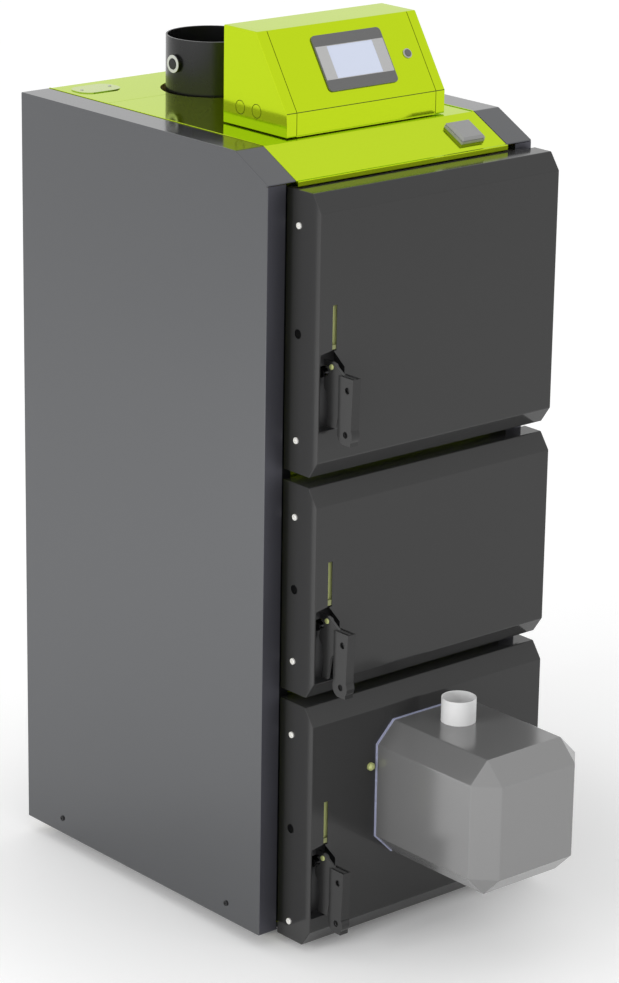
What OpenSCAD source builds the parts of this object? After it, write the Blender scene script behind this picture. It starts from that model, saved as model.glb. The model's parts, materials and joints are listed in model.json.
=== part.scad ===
// Floor-standing pellet boiler: insulated casing with three stacked doors,
// a burner on the lower door and a control box on top.
// The front faces -Y, the left panel is at -X and the floor is z = 0.
// The origin is on the floor, at the middle of the plan outline.

/* [Casing] */
// outer width of the casing
casing_w = 580; // [500:1:700]
// depth of the side panels
casing_d = 662; // [560:1:800]
// height of the side panels
casing_h = 1346; // [1200:1:1500]
// depth of the sloping front of the top
chamfer_y = 82; // [60:1:110]
// drop of the sloping front of the top
chamfer_z = 42.4; // [30:0.1:60]
// thickness of the casing sheets
sheet = 2; // [1.5:0.1:3]
// width of the flange on top of each side panel
top_flange = 58; // [40:1:70]
// width of the flange at the front of each side panel
front_flange = 37.5; // [30:0.5:45]
// height of the base frame below the panels
base_h = 28; // [20:1:40]

/* [Doors] */
// gap between the casing slope and the upper door
door_top_gap = 11.3; // [8:0.1:16]
// how far the lower door hangs below the panels
door_drop = 14.7; // [5:0.1:18]
// gap between two doors
door_gap = 17.5; // [12:0.5:24]
// share of the door heights that the upper door has
upper_share = 0.372; // [0.33:0.001:0.4]
// share of the door heights that the middle door has
middle_share = 0.288; // [0.26:0.001:0.32]
// inset of the doors at the latch side
door_inset = 53.5; // [52:0.5:60]
// distance from the panel fronts to the door fronts
door_depth = 69.3; // [60:0.1:80]
// depth of the bevels at the top and bottom of a door
bevel_y = 20.5; // [15:0.5:26]
// height of those bevels
bevel_z = 29.3; // [22:0.1:36]
// distance from the hinge axis to the right side
axis_inset = 15; // [14:0.5:18]
// distance from the panel fronts to the hinge axis
axis_front = 24; // [23:0.5:28]

/* [Latches] */
// height of the latch cut-out above the bottom edge of the upper door
upper_latch = 82; // [70:1:120]
// the same for the middle door
middle_latch = 30; // [30:1:60]
// the same for the lower door
lower_latch = 54; // [40:1:90]
// height of a latch cut-out
notch_h = 136; // [134:1:150]
// distance from the latch side of the door to the lever
lever_x = 32.3; // [30:0.1:36]
// thickness of a lever plate
lever_t = 5; // [4:0.5:6]
// width of the slot above a cut-out
slot_w = 9; // [8:0.5:11]
// length of that slot
slot_h = 72; // [50:1:80]

/* [Burner] */
// width and height of the burner cover
burner_w = 241; // [220:1:250]
// corner cut of the burner cover
burner_cut = 37; // [28:1:42]
// distance from the panel fronts to the burner front
burner_reach = 340; // [300:1:360]
// height of the burner axis above the lower door's bottom edge
burner_up = 254.5; // [235:0.5:270]
// outer diameter of the fire tube
fire_tube_d = 140; // [120:1:150]
// outer diameter of the pellet inlet
inlet_d = 60; // [50:1:65]

/* [Flue and water] */
// outer diameter of the flue
flue_d = 160; // [130:1:180]
// height of the flue above the casing
flue_up = 94; // [60:1:160]
// distance from the panel fronts to the flue axis
flue_y = 500; // [470:1:540]
// outer diameter of the water sockets
socket_d = 48.3; // [33:0.1:60.3]
// distance from the rear panel to the ends of the sockets
socket_out = 38; // [30:1:60]

/* [Control box] */
// width of the control box
control_w = 347; // [300:1:360]
// height of the control box
control_h = 164; // [150:1:190]
// height of the upright part of its front
control_sill = 41; // [30:1:55]
// depth of the box at its foot
control_d = 164; // [150:1:180]
// depth of the box at its top
control_top = 85; // [70:1:100]
// width of the display bezel
bezel_w = 151; // [130:1:180]
// height of the display bezel
bezel_h = 99.5; // [85:0.5:110]
// diameter of the power button
button_d = 13; // [10:0.5:16]

/* [Hidden] */
$fn = 48;
// running clearance between two pieces, and the clearance of a pin in its bore
gap = 0.4;
pin_fit = 0.05;

// plan position of the working frame: x from the left panel, y from the panel fronts
rear_y = casing_d + socket_out;
mid_x = casing_w / 2;
mid_y = (rear_y - burner_reach) / 2;

// side panel outline in y and z, anticlockwise, and the slope of its front
panel_side = [[0, 0], [casing_d, 0], [casing_d, casing_h], [chamfer_y, casing_h],
              [0, casing_h - chamfer_z]];
slope = atan2(chamfer_z, chamfer_y);

// door edges from top to bottom
stack_top = casing_h - chamfer_z - door_top_gap;
stack_h = stack_top + door_drop - 2 * door_gap;
door_h = [stack_h * upper_share, stack_h * middle_share, stack_h * (1 - upper_share - middle_share)];
door_z1 = [stack_top, stack_top - door_h[0] - door_gap, door_h[2] - door_drop];
door_z0 = [for (i = [0:2]) door_z1[i] - door_h[i]];
cover_t = 2;
cover_reach = 15;      // how far a cover reaches in between the side panels
cover_back = 3;        // its edge before the right panel, in front of the panel fronts
hinge_trim = 10;       // the same beside the hinges
hinge_side = casing_w - front_flange - 10;
core_front = 64;       // front of the core in front of the panel fronts
core_end = casing_w - 35;
liner_back = 15;
liner_end = casing_w - 55;
side_screw = [58, 56, 33];  // from the top edge, from the bottom edge, and that of the lower door
side_screw_y = -16;
side_hole_d = 12;

// front frame, its openings and the vessel
frame_y = 20;
frame_t = 6;
frame_top = casing_h - chamfer_z - 8;
frame_lap = 8;         // how far the front frame reaches behind each side panel
vessel_y = frame_y + frame_t;
vessel_side = 62;
vessel_back = casing_d - 62;
vessel_top = casing_h - 84;
open_x0 = door_inset + 72.5;
open_margin = 126;      // from the openings to the right side
open_x1 = casing_w - open_margin;
open_edge = 50;
open_z0 = [for (i = [0:2]) door_z0[i] + open_edge];
open_z1 = [for (i = [0:2]) door_z1[i] - open_edge];
plug_gap = 9;
plug_back = 60;
back_wall = 60;
chamber_back = [90, vessel_back - back_wall, vessel_back - back_wall];
tube_t = 12;
flue_sink = 25;
lining_up = 120;
pan_h = 75;
pan_gap = 30;
rope_w = 10;
rope_out = 20;

// hinges
axis_x = casing_w - axis_inset;
barrel_r = 8;
hinge_pin_r = 4;
barrel_h = 30;
hinge_margin = 70;
hinge_z = [for (i = [0:2]) [door_z0[i] + hinge_margin, door_z1[i] - hinge_margin]];

// latches: pivot, keeper pin and the top of each cut-out
latch_up = [upper_latch, middle_latch, lower_latch];
notch_x0 = door_inset + 2.8;
notch_x1 = door_inset + 54.8;
notch_cut = [26, 28, 51];    // start and depth of the cut corner, and its end below the top
notch_top = [for (i = [0:2]) door_z0[i] + latch_up[i] + notch_h];
lever_mid = door_inset + lever_x;
pivot_y = -67;
pivot_down = 31;
pivot_r = 3;
pivot_head_r = 5;
head_x = lever_mid - lever_t / 2 - 0.3;
keeper_y = -48;
keeper_down = 45;
keeper_r = 4;
fork_t = 3;
fork_half = 10;
room_half = 9.5;
pocket_y = -41;
pocket_t = 2;
tray_rim = 4;
grip_w = 17;
grip_t = 2.5;
grip_depth = 36;
grip_back = 23;
grip_top = 8;
grip_h = 114;
grip_hole_d = 9;
grip_lean = 5;
leg_w = [20, 10, 20];

// burner
burner_x = (door_inset + casing_w) / 2;
burner_z = door_z0[2] + burner_up;
burner_flange_t = 4;
inlet_h = 42.5;
inlet_y = -141.5;
inlet_wall = 2;
fire_tube_end = 220;
fire_tube_wall = 4;

// flue and top
flue_hole = flue_d + 18;
flue_wall = 3;
flue_x = mid_x;
top_gap = 1.2;
top_sink = 0.2;
boss_z = casing_h + 51;
boss_d = 31;
boss_len = 12;
socket_step = 2;       // how much thinner a socket is behind the rear panel
socket_x = 120;
socket_z = [70, 70, 150];
gland_r = 10;
gland_in = 40;         // depth of the recess for a gland in the insulation
gland_pitch = 45;
vent_z = [300, 600];
vent_pitch = 60;
plate_at = [top_flange + 62, casing_d - 54];
plate_size = [86, 58];
plate_t = 2.5;
plate_screw = 30;
panel_screw_in = [89, 105];   // from the front and from the rear edge
panel_screw_y = [panel_screw_in[0], casing_d - panel_screw_in[1]];
panel_screw_z = 29;
screw_r = 5;
shaft = 0.45;          // shaft of a screw as a share of its head

// control box: outline in y and z, measured from its foot
control_x0 = mid_x - control_w / 2 + 3.5;
control_y = chamfer_y + 14;
control_foot = 3;
control_strip = 1;     // strip of the box below its front sheet
cheek_w = 20;
control_side = [[0, control_foot], [control_d, control_foot], [control_d, control_h],
                [control_d - control_top, control_h], [0, control_sill]];
face_y = control_d - control_top;
face_z = control_h - control_sill;
face_tilt = atan2(face_z, face_y);
bezel_x = control_x0 + control_w / 2 + 4.5;
bezel_v = 75.7;
bezel_lap = 12;
bezel_r = 8;
seam = 0.8;
screen_w = 99.5;
screen_h = 57.5;
screen_band = 59.5;
button_in = 52.5;
button_x = control_x0 + control_w - button_in;
button_v = 72.5;
switch_in = 64.3;
switch_x = casing_w - top_flange - switch_in;
switch_v = 41.3;
switch_size = [51.5, 49.5];
lid_size = [48.6, 44.3];

DOORS = ["upper", "middle", "lower"];

// colours as seen
panel_grey = "#6D6E70";
door_grey = "#444444";
lime = "#BCD91B";
dark = "#3A3A3A";
steel = "#8C8C8C";
pale = "#EDEDED";

// points moved inwards by t from each edge of an anticlockwise convex outline
function edge_normal(p, i) =
    let (a = p[i], b = p[(i + 1) % len(p)], d = (b - a) / norm(b - a)) [-d[1], d[0]];
function inset(p, t) =
    [for (i = [0:len(p) - 1])
        let (m = edge_normal(p, (i + len(p) - 1) % len(p)), n = edge_normal(p, i))
        p[i] + (m + n) * t / (1 + m * n)];

// cover outline in y and z for door i, anticlockwise
function door_side(i) =
    [[cover_reach, door_z0[i]], [cover_reach, door_z1[i]], [bevel_y - door_depth, door_z1[i]],
     [-door_depth, door_z1[i] - bevel_z], [-door_depth, door_z0[i] + bevel_z],
     [bevel_y - door_depth, door_z0[i]]];

// moves from the working frame to the part's own origin
module place() {
    translate([-mid_x, -mid_y, base_h]) children();
}

// extrudes a y-z outline along x
module slab(x0, x1) {
    translate([x0, 0, 0])
        rotate([90, 0, 90])
            linear_extrude(height = x1 - x0) children();
}

// box between two corners
module block(a, b) {
    translate(a) cube(b - a);
}

// cylinder of radius r along x, y or z from p
module rod(p, r, h, along) {
    translate(p)
        rotate(along == "x" ? [0, 90, 0] : along == "y" ? [-90, 0, 0] : [0, 0, 0])
            cylinder(r = r, h = h);
}

// rectangle with rounded corners about the origin
module round_rect(w, h, r) {
    square([w - 2 * r, h], center = true);
    square([w, h - 2 * r], center = true);
    for (x = [-1, 1], y = [-1, 1])
        translate([x * (w / 2 - r), y * (h / 2 - r)]) circle(r = r);
}

// pan-head screw pointing along -x, head flat at x = 0
module screw_x(p, r, head, length) {
    translate(p) rotate([0, -90, 0]) {
        cylinder(r1 = r, r2 = 0.7 * r, h = head);
        translate([0, 0, -length]) cylinder(r = shaft * r, h = length + head / 2);
    }
}

module base_frame() {
    x0 = 30;
    y0 = 40;
    y1 = casing_d - 30;
    beam = 40;
    foot_r = 22;
    foot_h = 8;
    color(dark) place() {
        difference() {
            block([x0, y0, foot_h - base_h], [casing_w - x0, y1, 0]);
            block([x0 + beam, y0 + beam, -base_h], [casing_w - x0 - beam, y1 - beam, 1]);
        }
        for (x = [x0 + beam, casing_w - x0 - beam], y = [y0 + beam, y1 - beam])
            rod([x, y, -base_h], foot_r, foot_h, "z");
    }
}

// block with the three chambers and the mouth of the flue channel
module vessel() {
    color(steel) place() difference() {
        block([vessel_side, vessel_y, 0], [casing_w - vessel_side, vessel_back, vessel_top]);
        for (i = [0:2])
            block([open_x0, vessel_y - 1, open_z0[i]],
                  [open_x1, chamber_back[i] + (i == 0 ? tube_t : 0), open_z1[i]]);
        rod([flue_x, flue_y, vessel_top - flue_sink], flue_d / 2 - flue_wall, 2 * flue_sink, "z");
    }
}

// plate with the ends of the smoke tubes and the bars of their turbulators
module tube_plate() {
    tube_r = 27;
    nx = 4;
    nz = 5;
    bar = 3;
    pitch_x = (open_x1 - open_x0) / nx;
    pitch_z = (open_z1[0] - open_z0[0]) / nz;
    color(dark) place() translate([open_x0, chamber_back[0], open_z0[0]]) {
        difference() {
            cube([open_x1 - open_x0, tube_t, open_z1[0] - open_z0[0]]);
            for (a = [0:nx - 1], b = [0:nz - 1])
                rod([(a + 0.5) * pitch_x, -1, (b + 0.5) * pitch_z], tube_r, tube_t + 2, "y");
        }
        for (a = [0:nx - 1], b = [0:nz - 1])
            translate([(a + 0.5) * pitch_x - tube_r, bar, (b + 0.5) * pitch_z - bar])
                cube([2 * tube_r, tube_t - bar, 2 * bar]);
    }
}

module chamber_lining() {
    t = 22;
    y0 = vessel_y + plug_back;
    y1 = chamber_back[2];
    z0 = open_z0[2] + lining_up;
    z1 = open_z1[2];
    color("#B8A27E") place() {
        block([open_x0, y0, z0], [open_x0 + t, y1, z1]);
        block([open_x1 - t, y0, z0], [open_x1, y1, z1]);
        block([open_x0 + t, y1 - t, z0], [open_x1 - t, y1, z1]);
        for (x = [open_x0, open_x1 - t])
            block([x, y0, open_z0[2]], [x + t, y1, z0]);
    }
}

module ash_pan() {
    t = 2;
    bar = 6;
    grip = 50;
    x0 = open_x0 + pan_gap;
    x1 = open_x1 - pan_gap;
    y0 = vessel_y + plug_back + bar;
    y1 = chamber_back[2] - 2 * pan_gap;
    z0 = open_z0[2];
    grip_z = z0 + pan_h / 2;
    color(dark) place() {
        difference() {
            block([x0, y0, z0], [x1, y1, z0 + pan_h]);
            block([x0 + t, y0 + t, z0 + t], [x1 - t, y1 - t, z0 + pan_h + 1]);
        }
        for (x = [mid_x - grip, mid_x + grip - bar])
            block([x, y0 - 3 * bar, grip_z], [x + bar, y0, grip_z + bar]);
        block([mid_x - grip, y0 - 4 * bar, grip_z], [mid_x + grip, y0 - 3 * bar, grip_z + bar]);
    }
}

module insulation() {
    color("#C9B458") place() difference() {
        slab(sheet, casing_w - sheet)
            polygon([[vessel_y, sheet], [casing_d - sheet, sheet],
                     [casing_d - sheet, casing_h - sheet - top_sink],
                     [chamfer_y + sheet, casing_h - sheet - top_sink],
                     [vessel_y, casing_h - 2 * sheet - (chamfer_y + sheet - vessel_y) * tan(slope)]]);
        block([vessel_side, vessel_y - 1, -1],
              [casing_w - vessel_side, vessel_back, vessel_top]);
        rod([flue_x, flue_y, vessel_top - 1], flue_hole / 2, casing_h - vessel_top, "z");
        for (s = sockets())
            rod([s[0], vessel_back - 1, s[1]], s[2] - socket_step, casing_d - vessel_back, "y");
        for (g = [0:2])
            rod([gland_x(g), casing_d - gland_in, gland_z()], gland_r, gland_in, "y");
    }
}

module front_frame() {
    color(lime) place() difference() {
        block([front_flange - frame_lap, frame_y, sheet],
              [casing_w - front_flange + frame_lap, vessel_y, frame_top]);
        for (i = [0:2])
            block([open_x0, frame_y - 1, open_z0[i]], [open_x1, vessel_y + 1, open_z1[i]]);
    }
}

// skin and flanges of the left side panel, with the lip that meets the frame
module side_panel() {
    rim = inset(panel_side, sheet);
    lip_x = front_flange - sheet;
    bottom_flange = 42;
    slope_end = casing_h - chamfer_z - sheet * tan((90 - slope) / 2);
    difference() {
        slab(0, sheet) polygon(panel_side);
        for (y = panel_screw_y) rod([-1, y, panel_screw_z], shaft * screw_r, sheet + 2, "x");
    }
    difference() {
        slab(sheet / 2, top_flange) difference() {
            polygon(panel_side);
            polygon(rim);
        }
        block([front_flange, -1, -1], [top_flange + 1, sheet, slope_end]);
        block([0, casing_d - sheet, sheet], [top_flange + 1, casing_d + 1, casing_h - sheet]);
        block([bottom_flange, -1, -1], [top_flange + 1, casing_d + 1, sheet + 1]);
    }
    block([lip_x, sheet / 2, sheet / 2], [front_flange, frame_y, frame_top]);
}

module left_panel() {
    color(panel_grey) place() side_panel();
}

module right_panel() {
    color(panel_grey) place() translate([casing_w, 0, 0]) mirror([1, 0, 0]) side_panel();
}

// rear sockets: x, z and radius
function sockets() =
    [[mid_x - socket_x, vessel_top - socket_z[1], socket_d / 2],
     [mid_x - socket_x, socket_z[2], socket_d / 2],
     [mid_x + socket_x + 30, vessel_top - socket_z[1], socket_d / 3],
     [mid_x + socket_x + 30, socket_z[0], socket_d / 3]];
function gland_x(g) = mid_x + (4 + 3 * g) * gland_pitch / 3;
function gland_z() = casing_h - gland_pitch;

module rear_panel() {
    vent = [mid_x + 2 * gland_pitch, mid_x + 2 * gland_pitch + 100];
    vent_h = 12;
    color(panel_grey) place() difference() {
        block([sheet + gap, casing_d - sheet, sheet],
              [casing_w - sheet - gap, casing_d, casing_h - sheet - top_sink]);
        for (s = sockets()) rod([s[0], casing_d - 10, s[1]], s[2] - socket_step, 20, "y");
        for (g = [0:2]) rod([gland_x(g), casing_d - 10, gland_z()], gland_r, 20, "y");
        for (z = [vent_z[0] : vent_pitch : vent_z[1]])
            block([vent[0], casing_d - sheet - 1, z], [vent[1], casing_d + 1, z + vent_h]);
    }
}

// one top sheet between two y values, with the flue hole
module top_sheet(outline) {
    difference() {
        slab(top_flange + top_gap, casing_w - top_flange - top_gap) polygon(outline);
        rod([flue_x, flue_y, casing_h - 10], flue_hole / 2, 20, "z");
    }
}

module top_cover_rear() {
    z = casing_h - top_sink;
    color(lime) place()
        top_sheet([[flue_y + gap, z - sheet], [casing_d - sheet / 2, z - sheet],
                   [casing_d - sheet / 2, z], [flue_y + gap, z]]);
}

module top_cover_front() {
    z = casing_h - top_sink;
    lip = 5;
    low = z - chamfer_z;
    fold = sheet * tan(slope / 2);
    color(lime) place()
        top_sheet([[0, low], [-lip, low], [-lip, low - sheet], [fold, low - sheet],
                   [chamfer_y + fold, z - sheet],
                   [flue_y, z - sheet], [flue_y, z], [chamfer_y, z]]);
}

module flue_spigot() {
    collar = 6;
    color(dark) place() difference() {
        union() {
            rod([flue_x, flue_y, vessel_top], flue_d / 2, casing_h - vessel_top + flue_up, "z");
            rod([flue_x, flue_y, vessel_top], flue_hole / 2, collar, "z");
        }
        rod([flue_x, flue_y, vessel_top - 1], flue_d / 2 - flue_wall,
            casing_h - vessel_top + flue_up + 2, "z");
        rod([flue_x - flue_d / 2 - 5, flue_y, boss_z], boss_d / 4, 20, "x");
    }
}

module flue_sensor() {
    x = flue_x - flue_d / 2;
    color(pale) place() {
        difference() {
            rod([x - boss_len, flue_y, boss_z], boss_d / 2, boss_len + 8, "x");
            rod([flue_x, flue_y, boss_z - boss_d], flue_d / 2, 2 * boss_d, "z");
            rod([x - boss_len - 1, flue_y, boss_z], boss_d / 2 - 5, 5, "x");
        }
        rod([x - boss_len + 1, flue_y, boss_z], boss_d / 4 - pin_fit, boss_len + flue_wall - 2, "x");
        rod([x - boss_len - 2, flue_y, boss_z], 9, 6, "x");
    }
}

module top_plate() {
    color(pale) place()
        translate([plate_at[0], plate_at[1], casing_h - top_sink])
            linear_extrude(height = plate_t) difference() {
                round_rect(plate_size[0], plate_size[1], 24);
                for (s = [-1, 1]) translate([s * plate_screw, 0]) circle(r = shaft * screw_r);
            }
}

module casing_screws() {
    h = 2.5;
    color(dark) place() {
        for (y = panel_screw_y) {
            screw_x([0, y, panel_screw_z], screw_r, h, sheet);
            translate([casing_w, 0, 0]) mirror([1, 0, 0])
                screw_x([0, y, panel_screw_z], screw_r, h, sheet);
        }
        for (s = [-1, 1])
            translate([plate_at[0] + s * plate_screw, plate_at[1], casing_h - top_sink + plate_t])
                rotate([0, 90, 0]) screw_x([0, 0, 0], screw_r, h, plate_t);
    }
}

// control box placed on the top, x from its left end
module on_top() {
    translate([control_x0, control_y, casing_h]) children();
}

// frame on the sloping face: x as the casing, y up the slope, z outwards
module on_face() {
    translate([0, control_y, casing_h + control_sill])
        rotate([face_tilt, 0, 0]) children();
}

module control_body() {
    wall = 2;
    hole_r = 12;
    knock_y = [control_d - 44, control_d - 86];
    knock_z = 37;
    base_in = 8;
    color(lime) place() on_top() {
        difference() {
            slab(0, control_w) polygon(control_side);
            slab(wall + cheek_w, control_w - cheek_w - wall) polygon(inset(control_side, wall));
            slab(cheek_w, control_w - cheek_w)
                polygon([[-1, control_foot + control_strip], [wall, control_foot + control_strip],
                         [wall, control_sill - 1], [face_y + wall, control_h - wall],
                         [face_y + wall, control_h + 1], [-1, control_h + 1]]);
            for (x = [cheek_w - seam, control_w - cheek_w])
                block([x, face_y, control_h - 0.6], [x + seam, control_d + 1, control_h + 1]);
            for (y = knock_y) difference() {
                rod([-1, y, knock_z], hole_r, 1.6, "x");
                rod([-2, y, knock_z], hole_r - 1.2, 4, "x");
            }
        }
        block([base_in, base_in, -top_sink],
              [control_w - base_in, control_d - base_in, control_foot]);
    }
}

module control_front() {
    wall = 2;
    fold_v = 4;
    x0 = control_x0 + cheek_w + seam;
    x1 = control_x0 + control_w - cheek_w - seam;
    color(lime) place() difference() {
        translate([0, control_y, casing_h])
            slab(x0, x1)
                polygon([[0, control_foot + control_strip], [wall, control_foot + control_strip],
                         [wall, control_sill - 0.6], [face_y + 1.2, control_h - wall + 0.6],
                         [face_y, control_h - 0.4], [0, control_sill]]);
        on_face() {
            translate([bezel_x, bezel_v, -10])
                cube([bezel_w - bezel_lap, bezel_h - bezel_lap, 30], center = true);
            translate([button_x, button_v, -10]) cylinder(d = button_d + 4, h = 30);
            translate([x0 - 1, fold_v, -0.6]) cube([x1 - x0 + 2, seam, 2]);
        }
    }
}

module display_bezel() {
    t = 3;
    color("#6B6B6B") place() on_face() translate([bezel_x, bezel_v, 0]) difference() {
        union() {
            linear_extrude(height = t) round_rect(bezel_w, bezel_h, bezel_r);
            translate([0, 0, -9]) linear_extrude(height = 9)
                square([bezel_w - bezel_lap - gap, bezel_h - bezel_lap - gap], center = true);
        }
        translate([0, 0, t - 1.5]) linear_extrude(height = 3)
            square([bezel_w - 3, screen_band], center = true);
        translate([0, 0, -20]) linear_extrude(height = 30)
            square([bezel_w - 2 * bezel_lap, screen_band - bezel_lap], center = true);
    }
}

module display_panel() {
    color("#CBCBCB") place() on_face() translate([bezel_x, bezel_v, 1.5]) difference() {
        linear_extrude(height = 1.3) square([bezel_w - 3, screen_band], center = true);
        translate([0, 0, -1]) linear_extrude(height = 3)
            square([screen_w, screen_h], center = true);
    }
}

module display_screen() {
    color("#D5DAF2") place() on_face() translate([bezel_x, bezel_v, 0]) {
        translate([0, 0, 1.5]) linear_extrude(height = 0.9)
            square([screen_w, screen_h], center = true);
        translate([0, 0, -6]) linear_extrude(height = 7.5)
            square([screen_w - 2, screen_band - bezel_lap - 1], center = true);
    }
}

module button_ring() {
    color("#CBCBCB") place() on_face() translate([button_x, button_v, 0]) difference() {
        union() {
            cylinder(d = button_d + 4, h = 2);
            translate([0, 0, -14]) cylinder(d = button_d + 4 - gap, h = 15);
        }
        translate([0, 0, -11]) cylinder(d = button_d + 2 * pin_fit, h = 20);
    }
}

module power_button() {
    color("#6B6B6B") place() on_face() translate([button_x, button_v, -7])
        cylinder(d = button_d, h = 10.5);
}

// frame on the sloping front of the top: y up the slope, z outwards
module on_slope() {
    translate([0, 0, casing_h - chamfer_z - top_sink]) rotate([slope, 0, 0]) children();
}

// block with sloped sides between a lower and an upper rectangle
module frustum(a, b, h) {
    k = (a[0] - b[0]) / 2;
    m = (a[1] - b[1]) / 2;
    intersection() {
        translate([-a[0] / 2, 0, 0]) rotate([90, 0, 90]) linear_extrude(height = a[0])
            polygon([[-a[1] / 2, 0], [a[1] / 2, 0], [a[1] / 2 - m, h], [m - a[1] / 2, h]]);
        translate([0, a[1] / 2, 0]) rotate([90, 0, 0]) linear_extrude(height = a[1])
            polygon([[-a[0] / 2, 0], [a[0] / 2, 0], [a[0] / 2 - k, h], [k - a[0] / 2, h]]);
    }
}

module switch_box() {
    base_h = 8;
    lid_h = 7.4;
    groove = [2 * seam, 2 * seam];
    color("#8E8E8E") place() on_slope() translate([switch_x, switch_v, 0]) {
        linear_extrude(height = base_h - seam) square(switch_size, center = true);
        linear_extrude(height = base_h + 1) square(switch_size - groove, center = true);
        translate([0, 0, base_h]) frustum(switch_size, lid_size, lid_h);
    }
}

module water_sockets() {
    wall = 5;
    floor_t = 6;
    color(steel) place() for (s = sockets()) difference() {
        union() {
            rod([s[0], vessel_back, s[1]], s[2] - socket_step, rear_y - vessel_back, "y");
            rod([s[0], casing_d, s[1]], s[2], socket_out, "y");
        }
        rod([s[0], vessel_back + floor_t, s[1]], s[2] - wall, rear_y, "y");
    }
}

module cable_glands() {
    r = gland_r;
    hex = 6;
    color(dark) place() for (g = [0:2]) translate([gland_x(g), casing_d, gland_z()])
        rotate([-90, 0, 0]) difference() {
            union() {
                cylinder(r = r + 4, h = hex, $fn = 48);
                cylinder(r = r, h = hex + 10);
                translate([0, 0, -2 * hex]) cylinder(r = r, h = 2 * hex + 1);
            }
            translate([0, 0, -3 * hex]) cylinder(r = r - 5, h = 8 * hex);
        }
}

// fork with a cross pin in front of the frame, one for each lever
module latch_keepers() {
    color(dark) place() for (i = [0:2]) {
        z = notch_top[i] - keeper_down;
        for (x = [lever_mid - fork_half, lever_mid + fork_half - fork_t]) {
            block([x, keeper_y, z - 7], [x + fork_t, frame_y, z + 7]);
            rod([x, keeper_y, z], 7, fork_t, "x");
        }
        rod([lever_mid - fork_half, keeper_y, z], keeper_r, 2 * fork_half, "x");
        block([lever_mid - fork_half, frame_y - 4, z - 12],
              [lever_mid + fork_half, frame_y, z + 12]);
    }
}

// fixed half of a hinge: foot, arm, barrel and pin
module hinge_brackets() {
    foot = 12;
    arm = 5;
    color(dark) place() for (i = [0:2], z = hinge_z[i]) {
        block([axis_x - foot, -4, z - 18], [axis_x + foot, 0, z + 18]);
        block([axis_x - arm, -axis_front, z - barrel_h / 2], [axis_x + arm, -2, z]);
        rod([axis_x, -axis_front, z - barrel_h / 2], barrel_r, barrel_h / 2, "z");
        rod([axis_x, -axis_front, z - 1], hinge_pin_r, barrel_h / 2, "z");
    }
}

// cut-out for a latch in the front of a cover
module notch_shape(i) {
    z1 = notch_top[i];
    cut = notch_cut;
    polygon([[notch_x0, z1 - notch_h], [notch_x1, z1 - notch_h], [notch_x1, z1 - cut[2]],
             [notch_x1 - 3, z1 - cut[1]], [notch_x0 + cut[0], z1], [notch_x0, z1]]);
    translate([lever_mid - slot_w / 2, z1 - 12]) square([slot_w, slot_h + 12]);
}

module door_cover(i) {
    color(door_grey) place() difference() {
        slab(door_inset, casing_w) polygon(door_side(i));
        slab(door_inset + cover_t, casing_w - cover_t) polygon(cavity(i));
        block([hinge_side, -cover_back, door_z0[i] - 1],
              [casing_w + 1, cover_reach + 1, door_z1[i] + 1]);
        block([axis_x - 10, -hinge_trim, door_z0[i] - 1],
              [casing_w + 1, 1, door_z1[i] + 1]);
        translate([0, -door_depth + cover_t + 1, 0]) rotate([90, 0, 0])
            linear_extrude(height = cover_t + 2) notch_shape(i);
        for (z = hinge_z[i])
            block([axis_x + 5, -axis_front - 13, z - 20],
                  [casing_w + 1, 1, z + 20]);
        rod([door_inset - 1, side_screw_y, (cover_screw_z(i)[0] + cover_screw_z(i)[1]) / 2],
            side_hole_d / 2, cover_t + 2, "x");
        for (z = cover_screw_z(i))
            rod([door_inset - 1, side_screw_y, z], 2.5, cover_t + 2, "x");
        if (i == 2)
            rod([burner_x, -door_depth - 1, burner_z], fire_tube_d / 2 + 3, cover_t + 3, "y");
    }
}

// inside of a door cover, open at the back
function cavity(i) =
    let (p = inset(door_side(i), cover_t))
    [[cover_reach + 1, p[0][1]], [cover_reach + 1, p[1][1]], p[2], p[3], p[4], p[5]];

// heights of the two cover screws of door i
function cover_screw_z(i) =
    [door_z0[i] + (i == 2 ? side_screw[2] : side_screw[1]), door_z1[i] - side_screw[0]];

module door_core(i) {
    m = 8;
    arm = 6;
    z0 = door_z0[i];
    z1 = door_z1[i];
    color(lime) place() difference() {
        union() {
            intersection() {
                slab(door_inset + cover_t, core_end) polygon(inset(door_side(i), cover_t + 1));
                block([door_inset, -core_front, z0 + m], [casing_w, -cover_back, z1 - m]);
            }
            for (z = hinge_z[i]) {
                block([core_end - 1, -axis_front - arm, z + gap],
                      [axis_x, -axis_front + arm, z + barrel_h / 2]);
                rod([axis_x, -axis_front, z + gap], barrel_r, barrel_h / 2 - gap, "z");
            }
        }
        for (z = hinge_z[i])
            rod([axis_x, -axis_front, z - 2], hinge_pin_r + pin_fit, barrel_h, "z");
        tray_box(i);
        fork_room(i, pocket_y, 1);
        if (i == 2)
            rod([burner_x, -core_front - 1, burner_z], fire_tube_d / 2 + 2, core_front + 2, "y");
        rod([door_inset, side_screw_y, (cover_screw_z(i)[0] + cover_screw_z(i)[1]) / 2],
            side_hole_d / 2, 20, "x");
        for (z = cover_screw_z(i)) rod([door_inset, side_screw_y, z], 2.5, 24, "x");
    }
}

// room for the fork behind a cut-out, with more space where the door swings past it
module fork_room(i, y0, y1) {
    z = notch_top[i] - keeper_down;
    block([lever_mid - fork_half - 7, y0, z - room_half],
          [lever_mid + fork_half + 3, y1, z + room_half]);
}

// outer box of the tray behind a cut-out
module tray_box(i) {
    block([door_inset + cover_t, cover_t - door_depth, notch_top[i] - notch_h - tray_rim],
          [notch_x1 + tray_rim, pocket_y + pocket_t, notch_top[i] + tray_rim]);
}

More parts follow.
